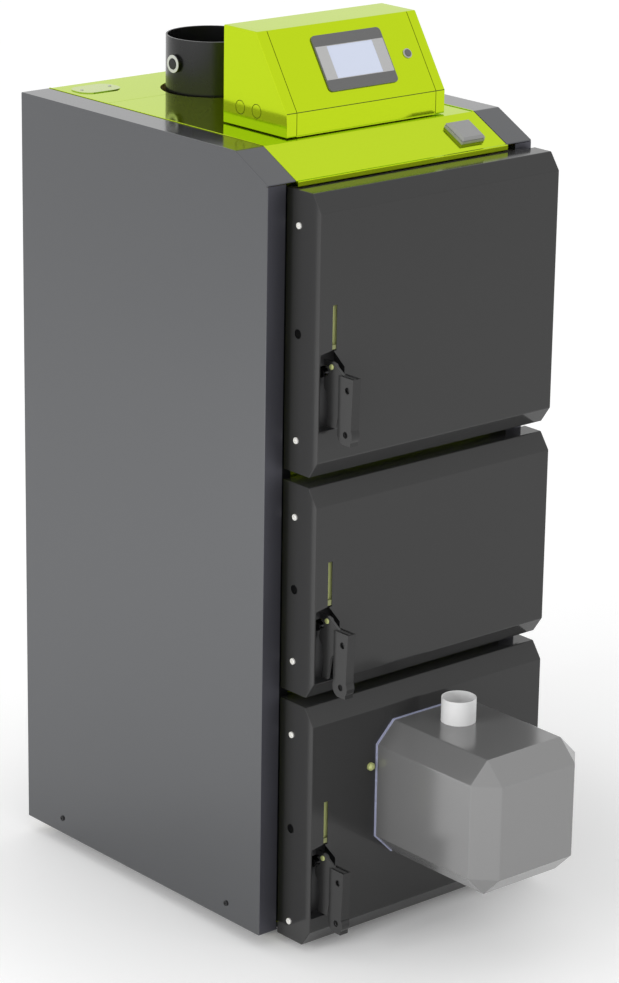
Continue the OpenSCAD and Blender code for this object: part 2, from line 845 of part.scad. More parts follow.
module door_liner(i) {
    edge = cover_t + gap;
    color(dark) place() difference() {
        union() {
            block([door_inset + edge, -cover_back, door_z0[i] + edge],
                  [liner_end, liner_back, door_z1[i] - edge]);
            block([open_x0 + plug_gap, liner_back - 1, open_z0[i] + plug_gap],
                  [open_x1 - plug_gap, plug_back, open_z1[i] - plug_gap]);
        }
        fork_room(i, -cover_back - 1, liner_back + 1);
        if (i == 2)
            rod([burner_x, -cover_back - 1, burner_z], fire_tube_d / 2 + 2, 90, "y");
    }
}

module door_rope(i) {
    color(pale) place() difference() {
        block([open_x0 - rope_out, liner_back, open_z0[i] - rope_out],
              [open_x1 + rope_out, frame_y - gap, open_z1[i] + rope_out]);
        block([open_x0 - rope_out + rope_w, liner_back - 1, open_z0[i] - rope_out + rope_w],
              [open_x1 + rope_out - rope_w, frame_y, open_z1[i] + rope_out - rope_w]);
    }
}

// dark tray behind a cut-out, with the lug and the shaft that carry the lever
module latch_pocket(i) {
    z = notch_top[i] - pivot_down;
    lug_x = lever_mid + lever_t / 2 + 1;
    lug_t = 3;
    lug_r = 6;
    color(dark) place() {
        difference() {
            intersection() {
                tray_box(i);
                slab(door_inset, casing_w) polygon(cavity(i));
            }
            block([door_inset + cover_t + pocket_t, -door_depth,
                   notch_top[i] - notch_h - tray_rim + pocket_t],
                  [notch_x1 + tray_rim - pocket_t, pocket_y, notch_top[i] + tray_rim - pocket_t]);
            fork_room(i, pocket_y - 1, pocket_y + pocket_t + 1);
        }
        block([lug_x, pivot_y, z - lug_r / 2], [lug_x + lug_t, pocket_y + pocket_t, z + lug_r]);
        rod([lug_x, pivot_y, z], lug_r, lug_t, "x");
        rod([head_x, pivot_y, z], pivot_r, lug_x + lug_t / 2 - head_x, "x");
    }
}

// head of the pivot screw, beside the lever plate
module pivot_head(i) {
    color(lime) place() translate([head_x, pivot_y, notch_top[i] - pivot_down])
        rotate([0, -90, 0]) cylinder(r1 = pivot_head_r, r2 = pivot_head_r - 1, h = 2.5);
}

module cover_screws(i) {
    color(pale) place() for (z = cover_screw_z(i))
        screw_x([door_inset, side_screw_y, z], 5.5, 3, 20);
}

// lever plate outline, y and z from the pivot
module lever_shape(i) {
    foot = pivot_down - notch_h + 3;
    front = -leg_w[i];
    web = grip_t - grip_back - grip_depth;
    plate_in = 38;
    difference() {
        union() {
            polygon([[-1, 9], [-28, -grip_top], [web, -grip_top],
                     [web + grip_lean * plate_in / grip_h, -grip_top - plate_in], [-22, -50],
                     [front, foot + 40], [front + 8, foot], [13, foot], [10.5, foot + 12],
                     [9.5, -81], [9, -66], [12, -55], [15, -17], [16, -3]]);
            translate([5, -31]) circle(r = 15.5);
        }
        translate([15, -11]) circle(r = 6.5);
        translate([15, -17.5]) square([20, 13]);
    }
}

module latch_lever(i) {
    color(door_grey) place()
        translate([0, pivot_y, notch_top[i] - pivot_down]) difference() {
            slab(lever_mid - lever_t / 2, lever_mid + lever_t / 2) lever_shape(i);
            rod([lever_mid - lever_t, 0, 0], pivot_r + pin_fit, 2 * lever_t, "x");
        }
}

module latch_grip(i) {
    hole1 = [-45, -29];
    hole2 = [-42, -104];
    web = grip_t - grip_back - grip_depth;
    color(door_grey) place()
        translate([0, pivot_y, notch_top[i] - pivot_down]) difference() {
            slab(lever_mid - grip_w / 2, lever_mid + grip_w / 2) union() {
                polygon([[-grip_back, -grip_top], [-grip_back - grip_depth, -grip_top],
                         [-grip_back - grip_depth + grip_lean, -grip_top - grip_h],
                         [-grip_back - 12, -grip_top - grip_h],
                         [-grip_back, -grip_top - grip_h + 12]]);
                translate([hole2[0] + 2, hole2[1]]) circle(r = 18);
            }
            slab(lever_mid - grip_w / 2 + grip_t, lever_mid + grip_w / 2 - grip_t)
                polygon([[1, 1], [web - grip_lean * (1 + grip_top) / grip_h, 1],
                         [web + grip_lean * 1.1, -grip_top - 1.1 * grip_h],
                         [1, -grip_top - 1.1 * grip_h]]);
            for (p = [hole1, hole2])
                rod([lever_mid - grip_w, p[0], p[1]], grip_hole_d / 2, 2 * grip_w, "x");
        }
}

// octagonal outline of the burner
module burner_outline(w) {
    c = burner_cut;
    h = w / 2;
    polygon([[-h, c - h], [c - h, -h], [h - c, -h], [h, c - h],
             [h, h - c], [h - c, h], [c - h, h], [-h, h - c]]);
}

// octagonal prism whose front is drawn in to a square by sloping faces
module burner_block(w, reach) {
    h = w / 2;
    c = burner_cut;
    depth = reach - door_depth - burner_flange_t;
    difference() {
        intersection() {
            rotate([90, 0, 0]) linear_extrude(height = depth) burner_outline(w);
            translate([-h, 0, 0]) rotate([90, 0, 90]) linear_extrude(height = w)
                polygon([[0, -h], [0, h], [c - depth, h], [-depth, h - c],
                         [-depth, c - h], [c - depth, -h]]);
            translate([0, 0, -h]) linear_extrude(height = w)
                polygon([[h, 0], [h, c - depth], [h - c, -depth], [c - h, -depth],
                         [-h, c - depth], [-h, 0]]);
        }
        for (sx = [-1, 1], sz = [-1, 1]) corner_cut(sx, sz, (w - 2 * c + depth) / sqrt(3), w);
    }
}

// takes off what lies beyond the plane at this distance along [sx, -1, sz]
module corner_cut(sx, sz, distance, size) {
    rotate([0, acos(sz / sqrt(3)), atan2(-1, sx)])
        translate([-size / 2, -size / 2, distance]) cube(size);
}

module burner_flange() {
    color("#A9ADC8") place() difference() {
        translate([burner_x, -door_depth, burner_z])
            rotate([90, 0, 0]) linear_extrude(height = burner_flange_t) burner_outline(burner_w + 2);
        rod([burner_x, -door_depth - 10, burner_z], fire_tube_d / 2, 20, "y");
    }
}

module burner_cover() {
    color(steel) place() difference() {
        translate([burner_x, -door_depth - burner_flange_t, burner_z])
            burner_block(burner_w, burner_reach);
        rod([burner_x, inlet_y, burner_z + burner_w / 2 - 60], inlet_d / 2 - inlet_wall, 100, "z");
    }
}

module burner_tube() {
    color(steel) place() difference() {
        rod([burner_x, -door_depth - burner_flange_t, burner_z], fire_tube_d / 2,
            door_depth + burner_flange_t + fire_tube_end, "y");
        rod([burner_x, 40, burner_z], fire_tube_d / 2 - fire_tube_wall, fire_tube_end, "y");
        for (a = [0 : 30 : 330])
            translate([burner_x, 0, burner_z]) rotate([0, a, 0])
                rod([0, fire_tube_end - 45, fire_tube_d / 2 - 10], 4, 20, "z");
    }
}

module pellet_inlet() {
    color(pale) place() difference() {
        rod([burner_x, inlet_y, burner_z + burner_w / 2], inlet_d / 2, inlet_h, "z");
        rod([burner_x, inlet_y, burner_z + burner_w / 2 - 1], inlet_d / 2 - inlet_wall,
            inlet_h + 2, "z");
    }
}

module burner_nuts() {
    x = burner_w / 2 + 13;
    up = 47;
    washer_r = 7;
    washer_h = 4;
    color(lime) place() for (s = [-1, 1])
        translate([burner_x + s * x, -door_depth, burner_z + up]) rotate([90, 0, 0]) {
            cylinder(r = washer_r, h = washer_h);
            translate([0, 0, washer_h]) cylinder(r1 = washer_r - 1, r2 = washer_r / 2, h = washer_h);
        }
}

base_frame();
vessel();
tube_plate();
chamber_lining();
ash_pan();
insulation();
front_frame();
left_panel();
right_panel();
rear_panel();
top_cover_rear();
top_cover_front();
flue_spigot();
flue_sensor();
top_plate();
casing_screws();
control_body();
control_front();
display_bezel();
display_panel();
display_screen();
button_ring();
power_button();
switch_box();
water_sockets();
cable_glands();
latch_keepers();
hinge_brackets();
for (i = [0:2]) {
    door_cover(i);
    door_core(i);
    door_liner(i);
    door_rope(i);
    latch_pocket(i);
    cover_screws(i);
    pivot_head(i);
    latch_lever(i);
    latch_grip(i);
}
burner_flange();
burner_cover();
burner_tube();
pellet_inlet();
burner_nuts();
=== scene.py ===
import json
import math

import bmesh
import bpy
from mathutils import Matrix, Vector


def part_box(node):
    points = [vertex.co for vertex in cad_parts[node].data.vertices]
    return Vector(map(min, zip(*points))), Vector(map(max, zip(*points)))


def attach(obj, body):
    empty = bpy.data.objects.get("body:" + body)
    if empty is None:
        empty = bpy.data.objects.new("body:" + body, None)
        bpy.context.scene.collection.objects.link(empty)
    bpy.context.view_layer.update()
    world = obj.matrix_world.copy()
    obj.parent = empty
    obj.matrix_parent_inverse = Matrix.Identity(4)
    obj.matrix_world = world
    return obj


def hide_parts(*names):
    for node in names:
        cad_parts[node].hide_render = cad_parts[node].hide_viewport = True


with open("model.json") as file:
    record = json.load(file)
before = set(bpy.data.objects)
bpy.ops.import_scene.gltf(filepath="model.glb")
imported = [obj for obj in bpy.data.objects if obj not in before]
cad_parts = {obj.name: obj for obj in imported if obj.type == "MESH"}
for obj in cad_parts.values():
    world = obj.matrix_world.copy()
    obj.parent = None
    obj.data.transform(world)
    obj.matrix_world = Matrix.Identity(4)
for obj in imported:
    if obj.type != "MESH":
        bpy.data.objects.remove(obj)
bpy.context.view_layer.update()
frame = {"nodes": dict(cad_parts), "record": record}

bl_info = {
    "name": "Pellet boiler",
    "version": (1, 0, 0),
    "blender": (4, 5, 0),
    "location": "3D View > Sidebar > Boiler",
    "description": "Dresses the packed pellet boiler with finishes, sheet-metal detail "
                   "and a studio",
    "category": "Object",
}

NODES = frame["nodes"]
DOORS = ("upper", "middle", "lower")
SLOTS = {part["node"]: part["material_slot"] for part in frame["record"]["subparts"]}
BODIES = {node: body for body, nodes in frame["record"]["behaviour"]["bodies"].items()
          for node in nodes}

# Sizes of the boiler in millimetres, as in the CAD
MID_X = 290.0  # middle of the casing, from its left side
MID_Y = 180.0  # origin, behind the panel fronts
BASE_H = 28.0  # base frame below the casing
CASING_H = 1346.0  # top of the casing
CHAMFER_Z = 42.4  # height of the slope along the front of the top
PIVOT_DOWN = 31.0  # lever pivot below the head of its cut-out
HINGE_MARGIN = 70.0  # hinge from the end of its door
BEVEL_Y = 20.5  # bevel at the top and bottom of a cover: depth and height
BEVEL_Z = 29.3
LEVER_IN = 32.3  # lever plate from the side of its cover
FRAME_Y = 1  # just behind the front frame
COVER_SCREW_Y = -16  # screws and plug in the side of a cover
BURNER_CUT = 37.0  # facets of the burner cover

# Sizes of the dressing in millimetres
NOTCH_DROP = {"upper": 2.3, "middle": 4.8, "lower": 4.2}  # window head below the CAD's
PANEL_SCREWS_Y = (89, 557)
PANEL_SCREWS_Z = 29
BOX_GAP = 1.3  # control box above the casing
SILL_UP = 41  # fold at the foot of its sloping front, above the casing
HINGE_SIDE_Y = -10  # behind here a cover has no side wall at the hinges
FLANGE_Y = -3  # and behind here no rear flange
HINGE_Y = -37  # front end of its windows for the hinges
GRIP_HOLES = ((-112, -60), (-109, -135))  # y, and z from the head of the cut-out

# Sizes of the dressing in metres
SHEET_BEND = 0.0016  # outer radius of a fold in sheet metal
COVER_BEND = 0.0015
COVER_WALL = 0.001
BOX_WALL = 0.002
SLIT_LENGTH = 0.0385  # relief slit at the front of a side panel
SLIT_DEPTH = 0.0035
SLIT_Z = (0.0028, 0.0019)  # below the foot of the slope
HEM = 0.0013  # raised rim along the sides of the top covers
HEM_WIDTH = 0.002
LIP_RETURN = 0.0068  # strip folded down under the lip
PLATE_THINNER = 0.0009  # what the small cover plate loses
SENSOR_FACE = 0.008  # outer part of the sensor boss
SENSOR_SHORTER = 0.006  # how far it moves in
WINDOW_X = (0.0028, 0.0548)  # latch window from the side of its cover
WINDOW_H = 0.136
WINDOW_RISE = (0.0272, 0.0048)  # its head rises so far across and up
WINDOW_FALL = 0.032  # and then falls to the right end
CUT_DEPTH = 0.006  # of the latch window and the slot, from the cover's face
SLOT_HALF = 0.0045  # slot for the lever plate, above the window
SLOT_H = 0.072
SLOT_OVERLAP = 0.0015
HINGE_SIDE_X = 0.025  # how far these cuts reach in: side wall, flange and windows
FLANGE_X = 0.0475
HINGE_X = 0.010
HINGE_HALF = 0.02
SCREW_UP = {"upper": 0.056, "middle": 0.056, "lower": 0.033}  # from the ends of a cover
SCREW_DOWN = 0.058
SCREW_HOLE_R = 0.0025
PLUG_R = 0.0082
FIRE_TUBE_R = 0.073
INLET_R = 0.028
GRIP_HOLE_R = 0.0056
BACKING_HALF = 0.008  # strip behind the slot: half its width, its place and its wall
BACKING_IN = 0.0012
BACKING_WALL = 0.0006
BACKING_Z = (0.0005, 0.0055)
GAP_SHADE_X = (-0.003, 0.0188)  # black strip of painted shade in the gap at the left flange, from the side of a cover and the face of the frame
GAP_SHADE_Y = (-0.0012, 0.0004)
GAP_SHADE_SHORT = 0.004  # at both ends
BROW_IN = 0.079  # top of the sloping front behind its foot
CHEEK = 0.020  # cheeks of the control box, and the seams and rings in it
SEAM = 0.0012
KNOCK_OUTS_Y = (0.120, 0.078)
KNOCK_OUT_Z = 0.0322
KNOCK_OUT_R = 0.012
GROOVE_DEPTH = 0.0013
DISPLAY_HALF = (0.0694, 0.04345, 0.02)
DISPLAY_UP = 0.0757  # middle of the display from the fold, along the slope
BUTTON_R = 0.0084
PAST = 0.01  # how far a cutter reaches beyond the piece
JUST_PAST = 0.001

JOIN_GAP = 0.000002  # points closer than this are one
CRISP_ANGLE = 14  # degrees from which an edge of a CAD node stays sharp
SMOOTH_ANGLE = 25  # the same for pieces that are modelled here
PARALLEL = 0.999  # from these shares a direction or normal is along an axis
LEVEL = 0.99
FACING = 0.9

CLOUD = 0.03  # unevenness of a coat's colour
EVEN = 0.015
PEEL = 900.0  # scale of its orange peel

FADE_END = 4.5  # metres from the boiler at which the floor is whitest
FLOOR_GLOW = 0.24
SOFTBOX_SIZE = 1.6
SENSOR_WIDTH = 36.0  # of the camera, in millimetres
VIEW_END = 60.0  # metres


def linear(rgb):
    """Linear values, as the shader wants them, of a colour as it is seen."""
    return tuple(c / 12.92 if c <= 0.04045 else ((c + 0.055) / 1.055) ** 2.4 for c in rgb)


def seen(code):
    """Red, green and blue from 0 to 1 of a code such as #373737."""
    return tuple(int(code[i:i + 2], 16) / 255 for i in (1, 3, 5))


def colour(name, description, code):
    """Setting for a colour."""
    return bpy.props.FloatVectorProperty(
        name=name, description=description, subtype="COLOR", size=3, min=0, max=1,
        default=linear(seen(code)))


def length(name, description, default):
    """Setting for a length."""
    return bpy.props.FloatProperty(
        name=name, description=description, default=default, unit="LENGTH", min=0)


class BoilerFinish(bpy.types.PropertyGroup):
    """Colours of the boiler"""
    lime: colour("Lime", "Powder coat of the top, the control box and the door frames", "#BDD81A")
    door: colour("Doors", "Gloss paint of the door covers", "#373737")
    panel: colour("Panels", "Satin paint of the casing panels", "#626365")
    burner: colour("Burner", "Paint of the burner cover", "#8C8C8C")
    flange: colour("Burner flange", "Coating of the plate behind the burner", "#C2C6E4")
    screen: colour("Screen", "Glass of the switched-off display", "#E2EAFF")


class BoilerStage(bpy.types.PropertyGroup):
    """Floor, light and camera"""
    floor: colour("Floor", "Colour of the studio floor", "#FAFAFA")
    fill: bpy.props.FloatProperty(
        name="Fill light", description="Strength of the light from all round", default=0.8, min=0)
    side_light: bpy.props.FloatProperty(
        name="Side light", description="Power of the soft light at the left, in watts",
        default=80.0, min=0)
    front_light: bpy.props.FloatProperty(
        name="Front light", description="Power of the soft light at the front, in watts",
        default=6.0, min=0)
    floor_size: length("Floor size", "Width of the studio floor", 24.0)
    camera_place: bpy.props.FloatVectorProperty(
        name="Camera", description="Place of the camera", subtype="XYZ", unit="LENGTH",
        default=(-3.7552, -4.3041, 2.5713))
    camera_turn: bpy.props.FloatVectorProperty(
        name="Camera turn", description="Rotation of the camera", subtype="EULER",
        default=(1.257016, -0.015367, -0.707507))
    lens: bpy.props.FloatProperty(
        name="Lens", description="Focal length in millimetres for a 36 mm sensor",
        default=127.28, min=1)


# Node groups shared by the finishes

def new_group(name, inputs):
    """Shader group with these float or colour inputs; its colour, gloss and relief go out."""
    tree = bpy.data.node_groups.new(name, "ShaderNodeTree")
    for label, default in inputs:
        kind = "NodeSocketColor" if isinstance(default, tuple) else "NodeSocketFloat"
        socket = tree.interface.new_socket(label, in_out="INPUT", socket_type=kind)
        socket.default_value = default
    for label, kind in (("Colour", "NodeSocketColor"), ("Roughness", "NodeSocketFloat"),
                        ("Height", "NodeSocketFloat")):
        tree.interface.new_socket(label, in_out="OUTPUT", socket_type=kind)
    return tree, tree.nodes.new("NodeGroupInput"), tree.nodes.new("NodeGroupOutput")


def feed(tree, source, socket):
    """Gives a socket a number, or a link from another socket."""
    if isinstance(source, (int, float)):
        socket.default_value = source
    else:
        tree.links.new(source, socket)


def calculate(tree, operation, *sources):
    """Math on numbers or sockets."""
    node = tree.nodes.new("ShaderNodeMath")
    node.operation = operation
    for source, socket in zip(sources, node.inputs):
        feed(tree, source, socket)
    return node.outputs[0]


def noise_on_object(tree, scale, detail, stretch=None):
    """Noise on Object coordinates; scale is a socket or a number."""
    texture = tree.nodes.new("ShaderNodeTexNoise")
    source = tree.nodes.new("ShaderNodeTexCoord").outputs["Object"]
    if stretch:
        mapping = tree.nodes.new("ShaderNodeMapping")
        mapping.inputs["Scale"].default_value = stretch
        tree.links.new(source, mapping.inputs["Vector"])
        source = mapping.outputs["Vector"]
    tree.links.new(source, texture.inputs["Vector"])
    feed(tree, scale, texture.inputs["Scale"])
    feed(tree, detail, texture.inputs["Detail"])
    return texture.outputs["Fac"]


def span(tree, value, low, high, full=1.0):
    """Maps 0..full of a value to low..high; both ends may be sockets."""
    node = tree.nodes.new("ShaderNodeMapRange")
    for label, source in (("Value", value), ("From Max", full), ("To Min", low), ("To Max", high)):
        feed(tree, source, node.inputs[label])
    return node.outputs["Result"]


def powder_coat_group():
    """Fine orange peel, a little cloudiness in the colour and uneven gloss."""
    tree, start, end = new_group("Powder coat", [
        ("Colour", (0.5, 0.5, 0.5, 1.0)), ("Cloud", CLOUD), ("Roughness", 0.3),
        ("Roughness spread", 0.05), ("Peel scale", PEEL)])
    given = start.outputs
    clouds = noise_on_object(tree, 3.5, 3.0)
    shade = tree.nodes.new("ShaderNodeHueSaturation")
    low = calculate(tree, "SUBTRACT", 1.0, given["Cloud"])
    high = calculate(tree, "ADD", 1.0, given["Cloud"])
    feed(tree, span(tree, clouds, low, high), shade.inputs["Value"])
    feed(tree, given["Colour"], shade.inputs["Color"])
    feed(tree, shade.outputs["Color"], end.inputs["Colour"])
    smudges = noise_on_object(tree, 11.0, 4.0)
    feed(tree, calculate(tree, "MULTIPLY_ADD", smudges, given["Roughness spread"],
                         given["Roughness"]), end.inputs["Roughness"])
    feed(tree, noise_on_object(tree, given["Peel scale"], 2.0), end.inputs["Height"])


def grain_group():
    """Lines of drawn or brushed metal along Z, with darker streaks."""
    tree, start, end = new_group("Metal grain", [
        ("Colour", (0.5, 0.5, 0.5, 1.0)), ("Dark colour", (0.3, 0.3, 0.3, 1.0)),
        ("Roughness", 0.35)])
    lines = noise_on_object(tree, 60.0, 5.0, (9.0, 9.0, 0.4))
    mix = tree.nodes.new("ShaderNodeMix")
    mix.data_type = "RGBA"
    feed(tree, lines, mix.inputs["Factor"])
    feed(tree, start.outputs["Dark colour"], mix.inputs["A"])
    feed(tree, start.outputs["Colour"], mix.inputs["B"])
    feed(tree, mix.outputs["Result"], end.inputs["Colour"])
    patches = noise_on_object(tree, 8.0, 3.0)
    feed(tree, calculate(tree, "MULTIPLY_ADD", patches, 0.15, start.outputs["Roughness"]),
         end.inputs["Roughness"])
    feed(tree, lines, end.inputs["Height"])


def finish(name, group, values, bump=0.02, distance=0.0002, **shader):
    """Material whose colour, roughness and bump come from a shared group."""
    material = bpy.data.materials.new(name)
    material.use_nodes = True
    tree = material.node_tree
    body = tree.nodes["Principled BSDF"]
    made = tree.nodes.new("ShaderNodeGroup")
    made.node_tree = bpy.data.node_groups[group]
    for label, value in values.items():
        made.inputs[label].default_value = value if isinstance(value, float) else (*value, 1.0)
    feed(tree, made.outputs["Colour"], body.inputs["Base Color"])
    feed(tree, made.outputs["Roughness"], body.inputs["Roughness"])
    relief = tree.nodes.new("ShaderNodeBump")
    feed(tree, bump, relief.inputs["Strength"])
    feed(tree, distance, relief.inputs["Distance"])
    feed(tree, made.outputs["Height"], relief.inputs["Height"])
    feed(tree, relief.outputs["Normal"], body.inputs["Normal"])
    for label, value in shader.items():
        body.inputs[label.replace("_", " ").title().replace("Ior", "IOR")].default_value = value
    return material


def paint(name, tone, roughness, cloud=CLOUD, peel=PEEL, **look):
    """Coat in a colour as it is seen (a code) or in one of the settings."""
    tone = linear(seen(tone)) if isinstance(tone, str) else tuple(tone)
    return finish(name, "Powder coat", {"Colour": tone, "Roughness": roughness, "Cloud": cloud,
                                        "Peel scale": peel}, **look)


def metal(name, light, dark, roughness, metallic):
    """Drawn metal between two colours as they are seen."""
    return finish(name, "Metal grain", {
        "Colour": linear(seen(light)), "Dark colour": linear(seen(dark)),
        "Roughness": roughness}, metallic=metallic)


def crisp_group():
    """Joins a CAD node's triangles and keeps every edge above CRISP_ANGLE sharp."""
    tree = bpy.data.node_groups.new("Crisp edges", "GeometryNodeTree")
    tree.interface.new_socket("Geometry", in_out="INPUT", socket_type="NodeSocketGeometry")
    tree.interface.new_socket("Geometry", in_out="OUTPUT", socket_type="NodeSocketGeometry")
    start = tree.nodes.new("NodeGroupInput")
    end = tree.nodes.new("NodeGroupOutput")
    forget = tree.nodes.new("GeometryNodeRemoveAttribute")
    forget.inputs["Name"].default_value = "custom_normal"
    join_points = tree.nodes.new("GeometryNodeMergeByDistance")
    join_points.inputs["Distance"].default_value = JOIN_GAP
    angle = tree.nodes.new("GeometryNodeInputMeshEdgeAngle")
    steep = tree.nodes.new("FunctionNodeCompare")
    steep.inputs["B"].default_value = math.radians(CRISP_ANGLE)
    shade = tree.nodes.new("GeometryNodeSetShadeSmooth")
    shade.domain = "EDGE"
    shade.inputs["Shade Smooth"].default_value = False
    feed(tree, start.outputs[0], forget.inputs["Geometry"])
    feed(tree, forget.outputs["Geometry"], join_points.inputs["Geometry"])
    feed(tree, join_points.outputs["Geometry"], shade.inputs["Geometry"])
    feed(tree, angle.outputs["Unsigned Angle"], steep.inputs["A"])
    feed(tree, steep.outputs["Result"], shade.inputs["Selection"])
    feed(tree, shade.outputs["Geometry"], end.inputs[0])
    for node in NODES.values():
        node.modifiers.new("Crisp edges", "NODES").node_group = tree


def dress(material, *names):
    """Gives CAD nodes a material."""
    for name in names:
        for holder in NODES[name].material_slots:
            holder.material = material


def of_doors(*parts):
    """Names of these parts on all three doors."""
    return [f"{door}_{part}" for door in DOORS for part in parts]


# Modelling: a primitive is added at its size and place, then shaped in edit mode

def at(x, y, z):
    """Place given in millimetres from the casing's left side, panel fronts and bottom."""
    return Vector(((x - MID_X) / 1000, (y - MID_Y) / 1000, (z + BASE_H) / 1000))


def near(a, b, slack=0.00005):
    """Whether two measures are the same place."""
    return abs(a - b) < slack


def turn_to(direction):
    """Rotation that points a piece's Z along a direction."""
    return Vector(direction).to_track_quat("Z", "Y").to_euler()


def activate(piece):
    """Makes a piece the active object and the only one selected."""
    bpy.ops.object.select_all(action="DESELECT")
    piece.select_set(True)
    bpy.context.view_layer.objects.active = piece


def settle(piece, name):
    """Names the selected piece and applies its place, turn and size to its mesh."""
    piece.name = piece.data.name = name
    bpy.ops.object.transform_apply(location=True, rotation=True, scale=True)
    return piece


def discard(piece):
    """Removes a piece and its mesh."""
    mesh = piece.data
    bpy.data.objects.remove(piece)
    bpy.data.meshes.remove(mesh)


def add_cube(name, low, high):
    """Box between its lowest and highest corner."""
    low, high = Vector(low), Vector(high)
    bpy.ops.object.select_all(action="DESELECT")
    bpy.ops.mesh.primitive_cube_add(size=1, location=(low + high) / 2)
    bpy.context.object.scale = high - low
    return settle(bpy.context.object, name)


def add_cylinder(name, foot, direction, radius, height, sides):
    """Cylinder that rises from its foot along a direction."""
    bpy.ops.object.select_all(action="DESELECT")
    direction = Vector(direction).normalized()
    bpy.ops.mesh.primitive_cylinder_add(
        vertices=sides, radius=radius, depth=height,
        location=Vector(foot) + direction * height / 2, rotation=turn_to(direction))
    return settle(bpy.context.object, name)


def edit():
    """Enters edit mode on the active piece."""
    bpy.ops.object.mode_set(mode="EDIT")


def leave():
    """Leaves edit mode."""
    bpy.ops.object.mode_set(mode="OBJECT")


def pick(kind, test):
    """Selects the points, edges or faces of the edited mesh that pass the test."""
    bpy.ops.mesh.select_mode(type={"verts": "VERT", "edges": "EDGE", "faces": "FACE"}[kind])
    bpy.ops.mesh.select_all(action="DESELECT")
    data = bpy.context.object.data
    mesh = bmesh.from_edit_mesh(data)
    chosen = [part for part in getattr(mesh, kind) if test(part)]
    if not chosen:
        raise RuntimeError(f"nothing to select on {bpy.context.object.name}")
    for part in chosen:
        part.select_set(True)
    bmesh.update_edit_mesh(data)


def halfway(a, b):
    """Point halfway between two others."""
    return (a + b) / 2


def middle(edge):
    """Middle of an edge."""
    return halfway(edge.verts[0].co, edge.verts[1].co)


def runs(edge, axis):
    """Whether an edge is parallel to x, y or z (0, 1 or 2)."""
    way = (edge.verts[1].co - edge.verts[0].co).normalized()
    return abs(way[axis]) > PARALLEL


def is_fold(edge, angle=20):
    """Whether the two faces at an edge meet at more than an angle."""
    return len(edge.link_faces) == 2 and edge.calc_face_angle() > math.radians(angle)


def bisect(point, normal, clear=False):
    """Cuts the edited mesh by a plane; clear removes what is beyond it and closes the cut."""
    bpy.ops.mesh.select_all(action="SELECT")
    bpy.ops.mesh.bisect(plane_co=point, plane_no=Vector(normal).normalized(), use_fill=clear,
                        clear_outer=clear)


def move(*way):
    """Moves what is selected in the edited mesh."""
    bpy.ops.transform.translate(value=way)


def extrude(*way):
    """Extrudes the selected faces of the edited mesh."""
    bpy.ops.mesh.extrude_region_move(TRANSFORM_OT_translate={"value": way})


def bend(radius, test=is_fold, steps=3, clamp=False):
    """Rounds the folds of the edited mesh to a bend radius."""
    pick("edges", test)
    bpy.ops.mesh.bevel(offset=radius, segments=steps, affect="EDGES", clamp_overlap=clamp)


def break_edges(radius, angle=40, test=lambda edge: True):
    """Breaks the folds of the edited mesh over an angle, as far as there is room."""
    bend(radius, lambda e: is_fold(e, angle) and test(e), steps=2, clamp=True)


def hollow(axis, wall):
    """Turns the edited cylinder, which lies along x or z (0 or 2), into a pipe with a wall."""
    pick("faces", lambda f: abs(f.normal[axis]) > FACING)
    bpy.ops.mesh.inset(thickness=wall)
    bpy.ops.mesh.delete(type="FACE")
    pick("edges", lambda e: len(e.link_faces) == 1)
    bpy.ops.mesh.bridge_edge_loops()


def thicken(piece, wall):
    """Gives a shell its wall, inwards."""
    shell = piece.modifiers.new("Wall", "SOLIDIFY")
    shell.thickness = wall
    shell.offset = -1
    shell.use_even_offset = True
    bpy.ops.object.modifier_apply(modifier=shell.name)


def cut(piece, *cutters):
    """Subtracts the cutters from the piece and removes them."""
    for cutter in cutters:
        bpy.ops.object.select_all(action="DESELECT")
        bpy.context.view_layer.objects.active = piece
        hole = piece.modifiers.new("Cut", "BOOLEAN")
        hole.operation = "DIFFERENCE"
        hole.solver = "EXACT"
        hole.object = cutter
        bpy.ops.object.modifier_apply(modifier=hole.name)
        discard(cutter)


def close_cracks():
    """Closes the slits that a cut can leave where it crosses a bend of the active piece."""
    edit()
    bpy.ops.mesh.select_mode(type="EDGE")
    bpy.ops.mesh.select_all(action="DESELECT")
    bpy.ops.mesh.select_non_manifold(extend=False, use_wire=False, use_multi_face=False,
                                     use_non_contiguous=False, use_verts=False)
    bpy.ops.mesh.fill_holes(sides=8)
    bpy.ops.mesh.select_all(action="SELECT")
    bpy.ops.mesh.normals_make_consistent(inside=False)
    leave()


def place(piece, body, material, slot, *replaced):
    """Smooths, dresses and mounts a finished piece on its body."""
    activate(piece)
    bpy.ops.object.shade_smooth_by_angle(angle=math.radians(SMOOTH_ANGLE))
    flats = piece.modifiers.new("Flat faces", "WEIGHTED_NORMAL")
    flats.keep_sharp = True
    bpy.ops.object.modifier_apply(modifier=flats.name)
    piece.data.materials.clear()
    piece.data.materials.append(bpy.data.materials[material])
    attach(piece, body)
    if replaced:
        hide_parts(*replaced)


def mark(piece, material, test):
    """Gives the faces that pass the test (centre, normal) a second material."""
    piece.data.materials.append(bpy.data.materials[material])
    for face in piece.data.polygons:
        if test(face.center, face.normal):
            face.material_index = 1


def copy_of(node):
    """Copy of a CAD node with its triangles merged into flat faces, ready for shaping."""
    piece = bpy.data.objects.new(f"{node}_formed", NODES[node].data.copy())
    piece.data.name = piece.name
    bpy.context.scene.collection.objects.link(piece)
    activate(piece)
    bpy.ops.mesh.customdata_custom_splitnormals_clear()
    edit()
    bpy.ops.mesh.select_all(action="SELECT")
    bpy.ops.mesh.remove_doubles(threshold=JOIN_GAP)
    bpy.ops.mesh.dissolve_limited(angle_limit=math.radians(0.3))
    leave()
    return piece


